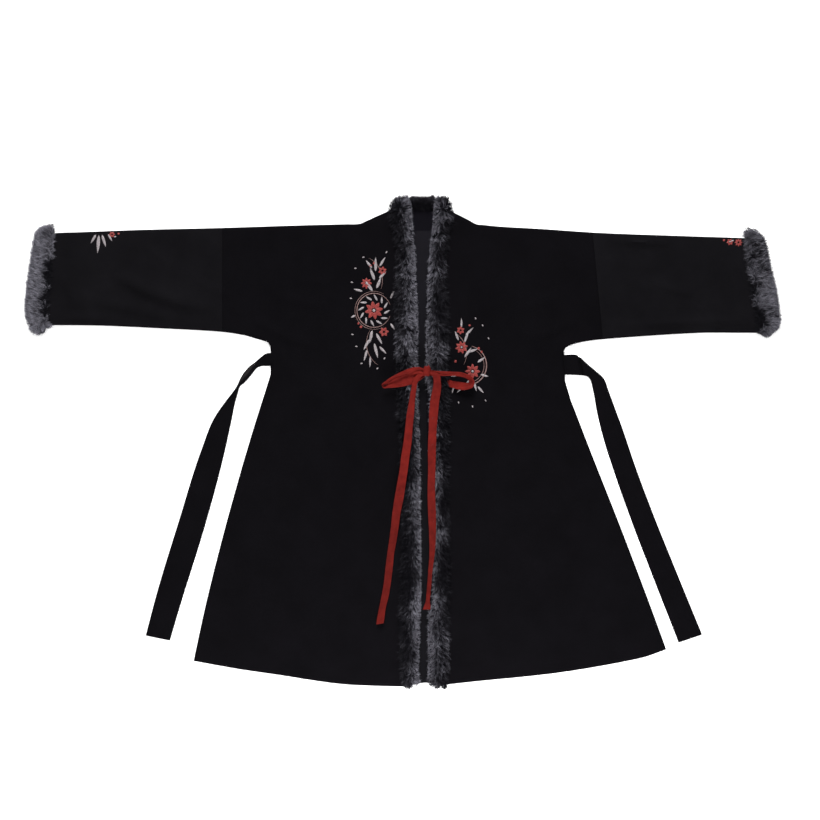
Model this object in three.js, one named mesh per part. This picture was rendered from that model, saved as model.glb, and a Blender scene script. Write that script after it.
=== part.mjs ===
// A women's hanfu jacket laid flat, front side up: dark wool cloth, fur edging down the open front
// and round the cuffs, a red ribbon tied at the chest and a belt strap sewn in each side seam.
// Millimetres. +X is the viewer's right, +Y runs from hem to neck, +Z stands up off the surface.
// The origin is the middle of the laid garment, on the surface. Left and right are the viewer's.
import * as THREE from "three";
import { mergeVertices } from "three/addons/utils/BufferGeometryUtils.js";

// Driving dimensions: cloth, air and fur.
const BACK_WALL = 2.8;
const FRONT_WALL = 2.8;
const LINING_WALL = 0.8;
const SEAM_GAP = 0.3;
const BACK_PRESS = 1.2; // how much thinner the back is where it is pressed into a side seam
const FRONT_PRESS = 0.9; // how far the fronts come down there
const FRONT_THIN = 0.8; // and how much thinner they are
const SEAM_REACH = 9; // how far that pressing reaches into the panel
const SLEEVE_HEIGHT = 6.2; // both walls of a sleeve lying on each other
const SLEEVE_SLIT = 0.5; // the air left between them
const FUR_CREST = 17; // the front edging's pile above the surface
const CUFF_CREST = 14;
const NECK_CREST = 13;
const EDGING_WRAP = 16; // how far the fur folds in past the front's cloth edge
const STRAP_WALL = 2.2; // doubled cloth
const RIBBON_WALL = 1.4; // the red ribbon, sewn as a flat tube

// Cut lines, in the laid garment's own frame.
const UNDERARM_Y = { left: 193, right: 183 };
const NECK_SEAM_Y = 421;
const COLLAR_TOP_Y = 475;
const COLLAR_ENDS = [0, 82];
const LINING_SIDES = [-18, 104];
const LINING_BOTTOM_Y = -482;
const LINING_RAMP = 26; // the front eases down over this width beside the lining
const HEM_Y = -430; // heights near which the curved edges are first looked up
const SLEEVE_Y = 310;
const UNDER_Y = 225;
const OVER_Y = 415;
const NECK_Y = 470;

// Shoulder and over-sleeve line, from one cuff to the other.
const TOP_LEFT = [
  { x: -705, y: 416 },
  { x: -685, y: 419 },
  { x: -525, y: 423 },
  { x: -361, y: 427 },
  { x: -205, y: 431 },
  { x: -100, y: 432.5 },
  { x: -70, y: 437 },
  { x: -29, y: 456 },
  { x: -10, y: 473 },
  { x: 8, y: 480 },
];
const TOP_RIGHT = [
  { x: 72, y: 480 },
  { x: 88, y: 473 },
  { x: 101, y: 455 },
  { x: 130, y: 437 },
  { x: 155, y: 431 },
  { x: 275, y: 425 },
  { x: 395, y: 417 },
  { x: 555, y: 411 },
  { x: 675, y: 407 },
  { x: 700, y: 405 },
];
// The back stops at the neck seam, under the collar.
const BACK_NECK = [
  { x: -29, y: 455 },
  { x: -2, y: NECK_SEAM_Y },
  { x: 84, y: NECK_SEAM_Y },
  { x: 101, y: 454 },
];
// Under side of the sleeves, from the seam with the extension to the cuff.
const SLEEVE_LEFT_UNDER = [
  { x: -705, y: 233 },
  { x: -605, y: 232.5 },
  { x: -485, y: 227 },
  { x: -361, y: 221 },
  { x: -310, y: 211 },
  { x: -285, y: 203 },
  { x: -265, y: 193 },
];
const SLEEVE_RIGHT_UNDER = [
  { x: 327, y: 183 },
  { x: 345, y: 196 },
  { x: 375, y: 203 },
  { x: 401, y: 206 },
  { x: 475, y: 211 },
  { x: 595, y: 217 },
  { x: 675, y: 218 },
  { x: 710, y: 218 },
];
// Side seams from underarm to hem, and the hem.
const SIDE_LEFT = [
  { y: 193, x: -265 },
  { y: 133, x: -264 },
  { y: 73, x: -283 },
  { y: -17, x: -311 },
  { y: -167, x: -353 },
  { y: -317, x: -391 },
  { y: -437, x: -417 },
];
const SIDE_RIGHT = [
  { y: 183, x: 327 },
  { y: 115, x: 326 },
  { y: 73, x: 339 },
  { y: -17, x: 373 },
  { y: -167, x: 433 },
  { y: -317, x: 489 },
  { y: -411, x: 523 },
];
const HEM = [
  { x: -417, y: -437 },
  { x: -325, y: -453 },
  { x: -245, y: -465 },
  { x: -85, y: -485 },
  { x: 40, y: -489 },
  { x: 155, y: -478 },
  { x: 315, y: -459 },
  { x: 475, y: -431 },
  { x: 523, y: -411 },
];
const BACK_HEM_RISE = 4; // the back is cut a little shorter than the fronts

// Seams with the sleeve extensions: x at the given y.
const SEAM_LEFT = [
  { y: 200, x: -361 },
  { y: 440, x: -361 },
];
const SEAM_RIGHT = [
  { y: 205, x: 401 },
  { y: 417, x: 381 },
];

// Fur edging down the fronts: outer and inner edge at each height up the garment.
const FUR_LEFT = [
  { y: 491, outer: -4, inner: 10, crest: 10 },
  { y: 485, outer: -16, inner: 18, crest: 15 },
  { y: 473, outer: -24, inner: 21, crest: FUR_CREST },
  { y: 450, outer: -27, inner: 21.5, crest: FUR_CREST },
  { y: 415, outer: -20, inner: 24, crest: FUR_CREST },
  { y: 383, outer: -12, inner: 27, crest: FUR_CREST },
  { y: 333, outer: -12, inner: 29, crest: FUR_CREST },
  { y: 297, outer: -16, inner: 31, crest: FUR_CREST },
  { y: 187, outer: -13, inner: 34, crest: FUR_CREST },
  { y: 77, outer: -9, inner: 36, crest: FUR_CREST },
  { y: -141, outer: -1, inner: 38, crest: FUR_CREST },
  { y: -317, outer: -5, inner: 39, crest: FUR_CREST },
  { y: -437, outer: -4, inner: 34, crest: FUR_CREST },
  { y: -480, outer: -2, inner: 34, crest: FUR_CREST },
  { y: -491, outer: 2, inner: 31, crest: 14 },
  { y: -495, outer: 8, inner: 27, crest: 11 },
];
const FUR_RIGHT = [
  { y: 491, outer: 82, inner: 69, crest: 10 },
  { y: 485, outer: 92, inner: 62, crest: 15 },
  { y: 473, outer: 97, inner: 60.5, crest: FUR_CREST },
  { y: 450, outer: 103, inner: 59, crest: FUR_CREST },
  { y: 415, outer: 92, inner: 56, crest: FUR_CREST },
  { y: 383, outer: 89, inner: 53, crest: FUR_CREST },
  { y: 340, outer: 84, inner: 49, crest: FUR_CREST },
  { y: 297, outer: 89, inner: 47, crest: FUR_CREST },
  { y: 187, outer: 92, inner: 45, crest: FUR_CREST },
  { y: 77, outer: 93, inner: 44, crest: FUR_CREST },
  { y: -141, outer: 93, inner: 49, crest: FUR_CREST },
  { y: -317, outer: 94, inner: 49, crest: FUR_CREST },
  { y: -437, outer: 92, inner: 49, crest: FUR_CREST },
  { y: -480, outer: 92, inner: 51, crest: FUR_CREST },
  { y: -491, outer: 89, inner: 55, crest: 14 },
  { y: -495, outer: 84, inner: 59, crest: 11 },
];

// Cuff edging: x of its outer end, at each y.
const CUFF_LEFT = [
  { y: 431, end: -716 },
  { y: 413, end: -734 },
  { y: 383, end: -740 },
  { y: 353, end: -744 },
  { y: 323, end: -749 },
  { y: 285, end: -753.5 },
  { y: 245, end: -752 },
  { y: 211, end: -730 },
];
const CUFF_RIGHT = [
  { y: 424, end: 706 },
  { y: 405, end: 724 },
  { y: 385, end: 729 },
  { y: 343, end: 737 },
  { y: 299, end: 748 },
  { y: 257, end: 753.5 },
  { y: 227, end: 753 },
  { y: 208, end: 731 },
];
// The cuff is sewn to the sleeve along a straight, slanting line: x at the given y.
const CUFF_SEAM_LEFT = [
  { y: 211, x: -714 },
  { y: 431, x: -695 },
];
const CUFF_SEAM_RIGHT = [
  { y: 208, x: 712 },
  { y: 424, x: 682 },
];
const CUFF_PROFILE = [
  { along: 0, top: 0.35, spread: -1 },
  { along: 0.12, top: 0.75, spread: 1.5 },
  { along: 0.35, top: 1, spread: 3 },
  { along: 0.65, top: 0.98, spread: 3 },
  { along: 0.88, top: 0.72, spread: 1 },
  { along: 1, top: 0.4, spread: -4 },
];

// Largest folds of the cloth: soft ridges from one point to another, all on the upper side.
const FOLDS = [
  { x0: -562, y0: 336, x1: -372, y1: 258, width: 13, height: 4.5 },
  { x0: -600, y0: 292, x1: -458, y1: 244, width: 11, height: 3.5 },
  { x0: -633, y0: 300, x1: -629, y1: 240, width: 10, height: 2.5 },
  { x0: -258, y0: 238, x1: -165, y1: 196, width: 12, height: 3.5 },
  { x0: -250, y0: 285, x1: -150, y1: 262, width: 13, height: 3 },
  { x0: -245, y0: 178, x1: -190, y1: 110, width: 12, height: 3 },
  { x0: -62, y0: 188, x1: -64, y1: -150, width: 12, height: 1.6 },
  { x0: 128, y0: 410, x1: 132, y1: 90, width: 13, height: 2 },
  { x0: 330, y0: 236, x1: 245, y1: 205, width: 13, height: 3 },
  { x0: 300, y0: 165, x1: 250, y1: 90, width: 12, height: 2.6 },
  { x0: 425, y0: 372, x1: 530, y1: 374, width: 13, height: 3.5 },
  { x0: 596, y0: 276, x1: 640, y1: 228, width: 11, height: 3.5 },
  { x0: 640, y0: 372, x1: 672, y1: 300, width: 12, height: 3 },
  { x0: -330, y0: -250, x1: -250, y1: -420, width: 15, height: 2 },
  { x0: 400, y0: -240, x1: 330, y1: -400, width: 15, height: 2.2 },
];

// Belt straps: rows of their two edges. The left one twists once, the right one is folded over.
const STRAP_LEFT = [
  { ax: -264.9, ay: 151, az: 1.5, bx: -265, by: 173, bz: 2.5 },
  { ax: -281, ay: 151, az: 1.4, bx: -280, by: 173, bz: 4 },
  { ax: -292, ay: 147, az: 1.6, bx: -302, by: 161, bz: 7 },
  { ax: -303, ay: 133, az: 2.5, bx: -314, by: 144, bz: 9 },
  { ax: -315, ay: 119, az: 5, bx: -321, by: 126, bz: 12 },
  { ax: -325, ay: 110, az: 2, bx: -323, by: 112, bz: 15 },
  { ax: -330, ay: 92, az: 1.2, bx: -340, by: 93, bz: 8 },
  { ax: -336, ay: 68, az: 1.1, bx: -364, by: 68, bz: 2.5 },
  { ax: -343, ay: 42, az: 1.1, bx: -379, by: 44, bz: 1.1 },
  { ax: -357, ay: -21, az: 1.1, bx: -403, by: -15, bz: 1.1 },
  { ax: -397, ay: -171, az: 1.1, bx: -449, by: -160, bz: 1.1 },
  { ax: -443, ay: -319, az: 1.1, bx: -494, by: -308, bz: 1.1 },
  { ax: -465, ay: -393, az: 1.1, bx: -513, by: -383, bz: 1.1 },
];
const STRAP_RIGHT_ROOT = [
  { ax: 327, ay: 135, az: 1.1, bx: 327.3, by: 175, bz: 1.1 },
  { ax: 352, ay: 134, az: 1.1, bx: 337, by: 175, bz: 1.1 },
];
const STRAP_RIGHT_FOLD = { ax: 399, ay: 129, bx: 349, by: 173 };
const STRAP_RIGHT_FALL = [
  { ax: 406, ay: 115, az: 3.9, bx: 363, by: 138, bz: 4 },
  { ax: 414, ay: 97, az: 2.6, bx: 374, by: 108, bz: 3.6 },
  { ax: 423, ay: 73, az: 1.1, bx: 384, by: 66, bz: 1.1 },
  { ax: 442, ay: 14, az: 1.1, bx: 401, by: 1, bz: 1.1 },
  { ax: 475, ay: -76, az: 1.1, bx: 430, by: -91, bz: 1.1 },
  { ax: 543, ay: -256, az: 1.1, bx: 496, by: -275, bz: 1.1 },
  { ax: 599, ay: -385, az: 1.1, bx: 555, by: -403, bz: 1.1 },
];

// Red ribbon: its middle line, the plan angle and tilt of its width, and the width itself.
const LOOP_LEFT = [
  { x: 35, y: 141, z: 21.2, turn: 107, tilt: 0, width: 12 },
  { x: 20, y: 138, z: 22.4, turn: 107, tilt: 0, width: 18 },
  { x: -8, y: 127, z: 22.4, turn: 107, tilt: 0, width: 18 },
  { x: -27, y: 119, z: 22, turn: 107, tilt: 0, width: 15 },
  { x: -36, y: 114.5, z: 20.3, turn: 103, tilt: 0, width: 12 },
  { x: -27, y: 116, z: 18.6, turn: 99, tilt: 0, width: 14 },
  { x: -4, y: 119, z: 18.6, turn: 98, tilt: 0, width: 18 },
  { x: 18, y: 125, z: 18.6, turn: 100, tilt: 0, width: 17 },
  { x: 36, y: 133, z: 18.8, turn: 104, tilt: 0, width: 11 },
];
const LOOP_RIGHT = [
  { x: 60.8, y: 139, z: 21, turn: 90, tilt: 0, width: 10 },
  { x: 78, y: 138, z: 22, turn: 88, tilt: -25, width: 15 },
  { x: 104, y: 136, z: 19.8, turn: 85, tilt: -50, width: 17 },
  { x: 126, y: 132, z: 17, turn: 62, tilt: -55, width: 17 },
  { x: 138, y: 124, z: 16, turn: 25, tilt: -58, width: 17 },
  { x: 138, y: 115, z: 15.6, turn: -12, tilt: -58, width: 17 },
  { x: 129, y: 109, z: 15.6, turn: -60, tilt: -52, width: 17 },
  { x: 113, y: 107, z: 17, turn: -82, tilt: -38, width: 17 },
  { x: 97, y: 110, z: 19.2, turn: -94, tilt: -12, width: 16 },
  { x: 80, y: 115, z: 18.6, turn: -100, tilt: 0, width: 14 },
  { x: 60.8, y: 126, z: 18.5, turn: -110, tilt: 0, width: 8 },
];
const TAIL_LEFT = [
  { x: 28, y: 121, z: 20.8, turn: 10, tilt: 0, width: 12 },
  { x: 24, y: 104, z: 19.2, turn: -8, tilt: 0, width: 14 },
  { x: 20, y: 77, z: 18.4, turn: -8, tilt: 0, width: 15 },
  { x: 10, y: -11, z: 18.4, turn: -8, tilt: 0, width: 17 },
  { x: 2, y: -70, z: 17.4, turn: -9, tilt: 14, width: 18 },
  { x: -4, y: -110, z: 14.6, turn: -10, tilt: 24, width: 18 },
  { x: -12, y: -150, z: 10.8, turn: -9, tilt: 14, width: 18 },
  { x: -19, y: -190, z: 8.8, turn: -7, tilt: 0, width: 18 },
  { x: -27, y: -271, z: 8.4, turn: -8, tilt: 0, width: 18 },
  { x: -42, y: -340, z: 8.6, turn: -13, tilt: 0, width: 17 },
  { x: -45, y: -363, z: 11, turn: -14, tilt: 8, width: 17 },
];
const TAIL_RIGHT = [
  { x: 68, y: 124, z: 22.4, turn: 5, tilt: 0, width: 14 },
  { x: 67, y: 108, z: 21, turn: -2, tilt: 0, width: 17 },
  { x: 66, y: 88, z: 18.8, turn: -5, tilt: 0, width: 19 },
  { x: 62, y: 40, z: 18.4, turn: -4, tilt: 0, width: 17 },
  { x: 59, y: -53, z: 18.4, turn: 0, tilt: 0, width: 15 },
  { x: 59, y: -141, z: 18.4, turn: 0, tilt: 0, width: 15 },
  { x: 59, y: -227, z: 18.4, turn: 0, tilt: 0, width: 13 },
  { x: 54, y: -293, z: 18.4, turn: -6, tilt: 4, width: 11 },
  { x: 48, y: -331, z: 19, turn: -8, tilt: 4, width: 14 },
];
const KNOT = { x: 48.4, y: 139, z: 21.8, halfX: 11.2, halfY: 14, halfZ: 4.3 };

const CLOTH = new THREE.MeshStandardMaterial({ color: 0x121013, roughness: 0.9 });
const SLEEVE_CLOTH = new THREE.MeshStandardMaterial({ color: 0x161518, roughness: 0.9 });
const LINING = new THREE.MeshStandardMaterial({ color: 0x1c1b20, roughness: 0.7 });
const FACING = new THREE.MeshStandardMaterial({ color: 0x131217, roughness: 0.75 });
const FUR = new THREE.MeshStandardMaterial({ color: 0x35353a, roughness: 0.8 });
const RED = new THREE.MeshStandardMaterial({ color: 0x6e2120, roughness: 0.75 });

const mix = THREE.MathUtils.lerp;
const between = THREE.MathUtils.clamp;

// A smooth reading of one column of a table at any value of its key column.
function reader(rows, key, column) {
  const sorted = [...rows].sort((a, b) => a[key] - b[key]);
  const slope = (i) => {
    const before = sorted[Math.max(i - 1, 0)];
    const after = sorted[Math.min(i + 1, sorted.length - 1)];
    return (after[column] - before[column]) / (after[key] - before[key]);
  };
  return (value) => {
    let i = 0;
    while (i < sorted.length - 2 && value > sorted[i + 1][key]) i += 1;
    const span = sorted[i + 1][key] - sorted[i][key];
    const t = between((value - sorted[i][key]) / span, 0, 1);
    const start = sorted[i][column];
    const end = sorted[i + 1][column];
    const rise = end - start;
    const bend = (1 - t) * (slope(i) * span - rise) - t * (slope(i + 1) * span - rise);
    return mix(start, end, t) + t * (1 - t) * bend;
  };
}

// Straight reading, for tables that have corners.
function straightReader(rows, key, column) {
  const sorted = [...rows].sort((a, b) => a[key] - b[key]);
  return (value) => {
    let i = 0;
    while (i < sorted.length - 2 && value > sorted[i + 1][key]) i += 1;
    const t = (value - sorted[i][key]) / (sorted[i + 1][key] - sorted[i][key]);
    return mix(sorted[i][column], sorted[i + 1][column], between(t, 0, 1));
  };
}

const topLeft = reader(TOP_LEFT, "x", "y");
const topRight = reader(TOP_RIGHT, "x", "y");
const underLeft = reader(SLEEVE_LEFT_UNDER, "x", "y");
const underRight = reader(SLEEVE_RIGHT_UNDER, "x", "y");
const sideLeft = reader(SIDE_LEFT, "y", "x");
const sideRight = reader(SIDE_RIGHT, "y", "x");
const hem = reader(HEM, "x", "y");
const backNeck = straightReader(BACK_NECK, "x", "y");
const seamLeft = straightReader(SEAM_LEFT, "y", "x");
const seamRight = straightReader(SEAM_RIGHT, "y", "x");

// Distance from a point to the pressed edges: side seams, under-sleeves and the shoulder line.
function pressedEdges() {
  const lines = [];
  const sample = (count, from, to, point) => {
    const line = [];
    for (let i = 0; i <= count; i += 1) line.push(point(mix(from, to, i / count)));
    lines.push(line);
  };
  const seams = [seamLeft(SLEEVE_Y), seamRight(SLEEVE_Y)];
  const armpits = [sideLeft(UNDERARM_Y.left), sideRight(UNDERARM_Y.right)];
  sample(20, seams[0], -60, (x) => [x, topLeft(x)]);
  sample(20, 130, seams[1], (x) => [x, topRight(x)]);
  sample(12, seams[0], armpits[0], (x) => [x, underLeft(x)]);
  sample(12, armpits[1], seams[1], (x) => [x, underRight(x)]);
  sample(16, UNDERARM_Y.left, SIDE_LEFT[SIDE_LEFT.length - 1].y, (y) => [sideLeft(y), y]);
  sample(16, UNDERARM_Y.right, SIDE_RIGHT[SIDE_RIGHT.length - 1].y, (y) => [sideRight(y), y]);
  return lines;
}
const PRESSED = pressedEdges();

function edgeDistance(x, y) {
  let best = Infinity;
  for (const line of PRESSED) {
    for (let i = 1; i < line.length; i += 1) {
      const [ax, ay] = line[i - 1];
      const [bx, by] = line[i];
      const length2 = (bx - ax) ** 2 + (by - ay) ** 2;
      const t = between(((x - ax) * (bx - ax) + (y - ay) * (by - ay)) / length2, 0, 1);
      best = Math.min(best, Math.hypot(x - mix(ax, bx, t), y - mix(ay, by, t)));
    }
  }
  return best;
}

// 1 at a pressed edge, 0 further in than the pressing reaches.
const pressing = (x, y) => (1 - between(edgeDistance(x, y) / SEAM_REACH, 0, 1)) ** 2;

// How far the folds lift the upper cloth.
function foldLift(x, y) {
  let lift = 0;
  for (const fold of FOLDS) {
    const dx = fold.x1 - fold.x0;
    const dy = fold.y1 - fold.y0;
    const along = ((x - fold.x0) * dx + (y - fold.y0) * dy) / (dx * dx + dy * dy);
    if (along <= 0 || along >= 1) continue;
    const off = Math.hypot(x - fold.x0 - along * dx, y - fold.y0 - along * dy) / fold.width;
    lift += fold.height * Math.sin(Math.PI * along) ** 0.8 * Math.exp(-off * off);
  }
  return lift;
}

const backTop = (x, y) => BACK_WALL - BACK_PRESS * pressing(x, y);

// The fronts lie on the back, and step up a little over the lining.
function liningLift(x) {
  const outside = Math.max(LINING_SIDES[0] - x, x - LINING_SIDES[1], 0);
  const share = 1 - between((outside - 2) / LINING_RAMP, 0, 1);
  return (LINING_WALL + SEAM_GAP) * share * share * (3 - 2 * share);
}
function frontFloor(x, y) {
  const press = pressing(x, y);
  return BACK_WALL + SEAM_GAP - FRONT_PRESS * press + liningLift(x) + foldLift(x, y) * (1 - press);
}
const frontRoof = (x, y) => frontFloor(x, y) + FRONT_WALL - FRONT_THIN * pressing(x, y);

// One closed geometry from a list of points and triangles.
function geometryOf(points, triangles) {
  const geometry = new THREE.BufferGeometry();
  geometry.setAttribute("position", new THREE.Float32BufferAttribute(points.flat(), 3));
  geometry.setIndex(triangles.flat());
  const merged = mergeVertices(geometry, 1e-4);
  merged.computeVertexNormals();
  return merged;
}

// A wall over a grid of plan points. Missing places in the grid are null. The wall lies between
// two heights worked out at each point, and its rim closes round every open edge.
function wallOver(grid, floor, roof) {
  const points = [];
  const triangles = [];
  const number = grid.map((row) =>
    row.map((place) => {
      if (!place) return null;
      const [x, y] = place;
      points.push([x, y, floor(x, y)], [x, y, roof(x, y)]);
      return points.length - 2;
    }),
  );
  const cell = (i, j) =>
    i >= 0 && j >= 0 && number[i]?.[j] != null && number[i + 1]?.[j] != null &&
    number[i][j + 1] != null && number[i + 1][j + 1] != null;
  const quad = (a, b, c, d) => triangles.push([a, b, c], [a, c, d]);
  for (let i = 0; i < number.length - 1; i += 1) {
    for (let j = 0; j < number[i].length - 1; j += 1) {
      if (!cell(i, j)) continue;
      const a = number[i][j];
      const b = number[i][j + 1];
      const c = number[i + 1][j + 1];
      const d = number[i + 1][j];
      quad(a + 1, b + 1, c + 1, d + 1);
      quad(d, c, b, a);
      if (!cell(i - 1, j)) quad(a, b, b + 1, a + 1);
      if (!cell(i, j + 1)) quad(b, c, c + 1, b + 1);
      if (!cell(i + 1, j)) quad(c, d, d + 1, c + 1);
      if (!cell(i, j - 1)) quad(d, a, a + 1, d + 1);
    }
  }
  return geometryOf(points, triangles);
}

// A lofted solid through closed sections with the same number of points, with flat ends.
function loftThrough(sections) {
  const count = sections[0].length;
  const points = sections.flat();
  const triangles = [];
  const at = (i, j) => i * count + (j % count);
  for (let i = 0; i < sections.length - 1; i += 1) {
    for (let j = 0; j < count; j += 1) {
      triangles.push([at(i, j), at(i, j + 1), at(i + 1, j + 1)]);
      triangles.push([at(i, j), at(i + 1, j + 1), at(i + 1, j)]);
    }
  }
  for (const end of [0, sections.length - 1]) {
    const flat = sections[end].map((p) => new THREE.Vector2(p[0], p[2]));
    const along = sections[end].map((p) => new THREE.Vector2(p[1], p[2]));
    const spread = (list) => new THREE.Box2().setFromPoints(list).getSize(new THREE.Vector2()).x;
    const wide = spread(flat) > spread(along) ? flat : along;
    const clockwise = THREE.ShapeUtils.area(wide) < 0;
    const ordered = clockwise ? [...wide].reverse() : wide;
    const place = (k) => at(end, clockwise ? count - 1 - k : k);
    for (const face of THREE.ShapeUtils.triangulateShape(ordered, [])) {
      const corners = face.map(place);
      const turned = clockwise !== (end === 0);
      triangles.push(turned ? corners.reverse() : corners);
    }
  }
  return outward(geometryOf(points, triangles));
}

// A tube with a wall: outer and inner rings with the same number of points at each station.
function tubeThrough(outer, inner) {
  const count = outer[0].length;
  const points = [...outer.flat(), ...inner.flat()];
  const offset = outer.length * count;
  const triangles = [];
  const at = (i, j) => i * count + (j % count);
  for (let i = 0; i < outer.length - 1; i += 1) {
    for (let j = 0; j < count; j += 1) {
      triangles.push([at(i, j), at(i, j + 1), at(i + 1, j + 1)]);
      triangles.push([at(i, j), at(i + 1, j + 1), at(i + 1, j)]);
      triangles.push([offset + at(i, j), offset + at(i + 1, j + 1), offset + at(i, j + 1)]);
      triangles.push([offset + at(i, j), offset + at(i + 1, j), offset + at(i + 1, j + 1)]);
    }
  }
  const last = outer.length - 1;
  for (let j = 0; j < count; j += 1) {
    triangles.push([at(0, j), offset + at(0, j), offset + at(0, j + 1)]);
    triangles.push([at(0, j), offset + at(0, j + 1), at(0, j + 1)]);
    triangles.push([at(last, j), offset + at(last, j + 1), offset + at(last, j)]);
    triangles.push([at(last, j), at(last, j + 1), offset + at(last, j + 1)]);
  }
  return outward(geometryOf(points, triangles));
}

// Turns a closed geometry's faces out, whichever way its sections ran.
function outward(geometry) {
  const place = geometry.getAttribute("position");
  const index = geometry.getIndex();
  const corner = [0, 1, 2].map(() => new THREE.Vector3());
  let volume = 0;
  for (let i = 0; i < index.count; i += 3) {
    corner.forEach((v, k) => v.fromBufferAttribute(place, index.getX(i + k)));
    volume += corner[0].dot(corner[1].cross(corner[2]));
  }
  if (volume > 0) return geometry;
  for (let i = 0; i < index.count; i += 3) {
    const second = index.getX(i + 1);
    index.setX(i + 1, index.getX(i + 2));
    index.setX(i + 2, second);
  }
  geometry.computeVertexNormals();
  return geometry;
}

// Even shares from 0 to 1, drawn closer together towards the ends that are named.
function shares(count, closeStart, closeEnd) {
  const list = [0];
  const step = 1 / count;
  if (closeStart) list.push(step * 0.35);
  for (let i = 1; i < count; i += 1) list.push(i * step);
  if (closeEnd) list.push(1 - step * 0.35);
  list.push(1);
  return list;
}

// Plan grid of a panel that is cut in one with its upper sleeve. Rows run from hem to shoulder,
// columns from the end of the sleeve to the opening edge, and the sleeve has no cells below it.
function panelGrid(cut) {
  const sleeveColumns = shares(4, false, false);
  const bodyColumns = shares(cut.bodyColumns, true, false);
  const bodyRows = shares(cut.bodyRows, false, false);
  const chestRows = shares(cut.chestRows, true, true);
  const rows = [];
  for (const s of bodyRows.slice(0, -1)) {
    const row = sleeveColumns.slice(0, -1).map(() => null);
    for (const u of bodyColumns) {
      const level = mix(HEM_Y, cut.underarm, s);
      let x = mix(cut.side(level), cut.front(level), u);
      let y = mix(cut.hem(x), cut.underarm, s);
      x = mix(cut.side(y), cut.front(y), u);
      y = mix(cut.hem(x), cut.underarm, s);
      row.push([x, y]);
    }
    rows.push(row);
  }
  const armpit = cut.side(cut.underarm);
  for (const t of chestRows) {
    const row = [];
    for (const w of sleeveColumns.slice(0, -1)) {
      const guess = mix(cut.seam(SLEEVE_Y), armpit, w);
      const level = mix(cut.under(guess), cut.top(guess), t);
      const x = mix(cut.seam(level), armpit, w);
      row.push([x, mix(cut.under(x), cut.top(x), t)]);
    }
    for (const u of bodyColumns) {
      const guess = mix(armpit, cut.front(mix(cut.underarm, NECK_Y, t)), u);
      const level = mix(cut.underarm, cut.top(guess), t);
      const x = mix(armpit, cut.front(level), u);
      row.push([x, mix(cut.underarm, cut.top(x), t)]);
    }
    rows.push(row);
  }
  return rows;
}

// Fur inner edges carry the cut of the front edges.
const furInnerLeft = reader(FUR_LEFT, "y", "inner");
const furInnerRight = reader(FUR_RIGHT, "y", "inner");
const frontEdgeLeft = (y) => furInnerLeft(Math.min(y, 473)) - EDGING_WRAP;
const frontEdgeRight = (y) => furInnerRight(Math.min(y, 473)) + EDGING_WRAP;

function frontPanel(side) {
  const left = side === "left";
  const grid = panelGrid({
    bodyColumns: 13,
    bodyRows: 20,
    chestRows: 11,
    underarm: UNDERARM_Y[side],
    side: left ? sideLeft : sideRight,
    front: left ? frontEdgeLeft : frontEdgeRight,
    hem,
    under: left ? underLeft : underRight,
    top: left ? topLeft : topRight,
    seam: left ? seamLeft : seamRight,
  });
  return outward(wallOver(grid, frontFloor, frontRoof));
}

// The back is one piece: its columns run from sleeve to sleeve and its rows from hem to shoulder.
function backPanel() {
  const sleeveColumns = shares(2, false, false).slice(0, -1);
  const top = (x) => {
    if (x > BACK_NECK[0].x && x < BACK_NECK[3].x) return backNeck(x);
    return x < 0 ? topLeft(x) : topRight(x);
  };
  const across = (y) => [sideLeft(y), sideRight(y)];
  const armpits = [sideLeft(UNDERARM_Y.left), sideRight(UNDERARM_Y.right)];
  const armLevel = (x) => {
    const t = (x - armpits[0]) / (armpits[1] - armpits[0]);
    return mix(UNDERARM_Y.left, UNDERARM_Y.right, t);
  };
  const neck = BACK_NECK.map((row) => row.x);
  const chestX = [
    ...shares(6, true, false).map((u) => mix(armpits[0], neck[0], u)),
    neck[1],
    neck[2],
    ...shares(6, false, true).map((u) => mix(neck[3], armpits[1], u)),
  ];
  const rows = [];
  const blanks = sleeveColumns.map(() => null);
  for (const s of shares(11, false, false).slice(0, -1)) {
    const row = [...blanks];
    chestX.forEach((flatX) => {
      const u = (flatX - armpits[0]) / (armpits[1] - armpits[0]);
      const level = mix(HEM_Y, UNDERARM_Y.left, s);
      let x = mix(...across(level), u);
      const y = mix(hem(x) + BACK_HEM_RISE, armLevel(flatX), s);
      x = mix(...across(y), u);
      row.push([x, y]);
    });
    rows.push([...row, ...blanks]);
  }
  for (const t of shares(5, true, true)) {
    const row = [];
    for (const w of sleeveColumns) {
      const x = mix(seamLeft(SLEEVE_Y), armpits[0], w);
      row.push([x, mix(underLeft(x), topLeft(x), t)]);
    }
    for (const x of chestX) row.push([x, mix(armLevel(x), top(x), t)]);
    for (const w of [...sleeveColumns].reverse()) {
      const guess = mix(seamRight(SLEEVE_Y), armpits[1], w);
      const level = mix(underRight(guess), topRight(guess), t);
      const x = mix(seamRight(level), armpits[1], w);
      row.push([x, mix(underRight(x), topRight(x), t)]);
    }
    rows.push(row);
  }
  return outward(wallOver(rows, () => 0, backTop));
}

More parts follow.
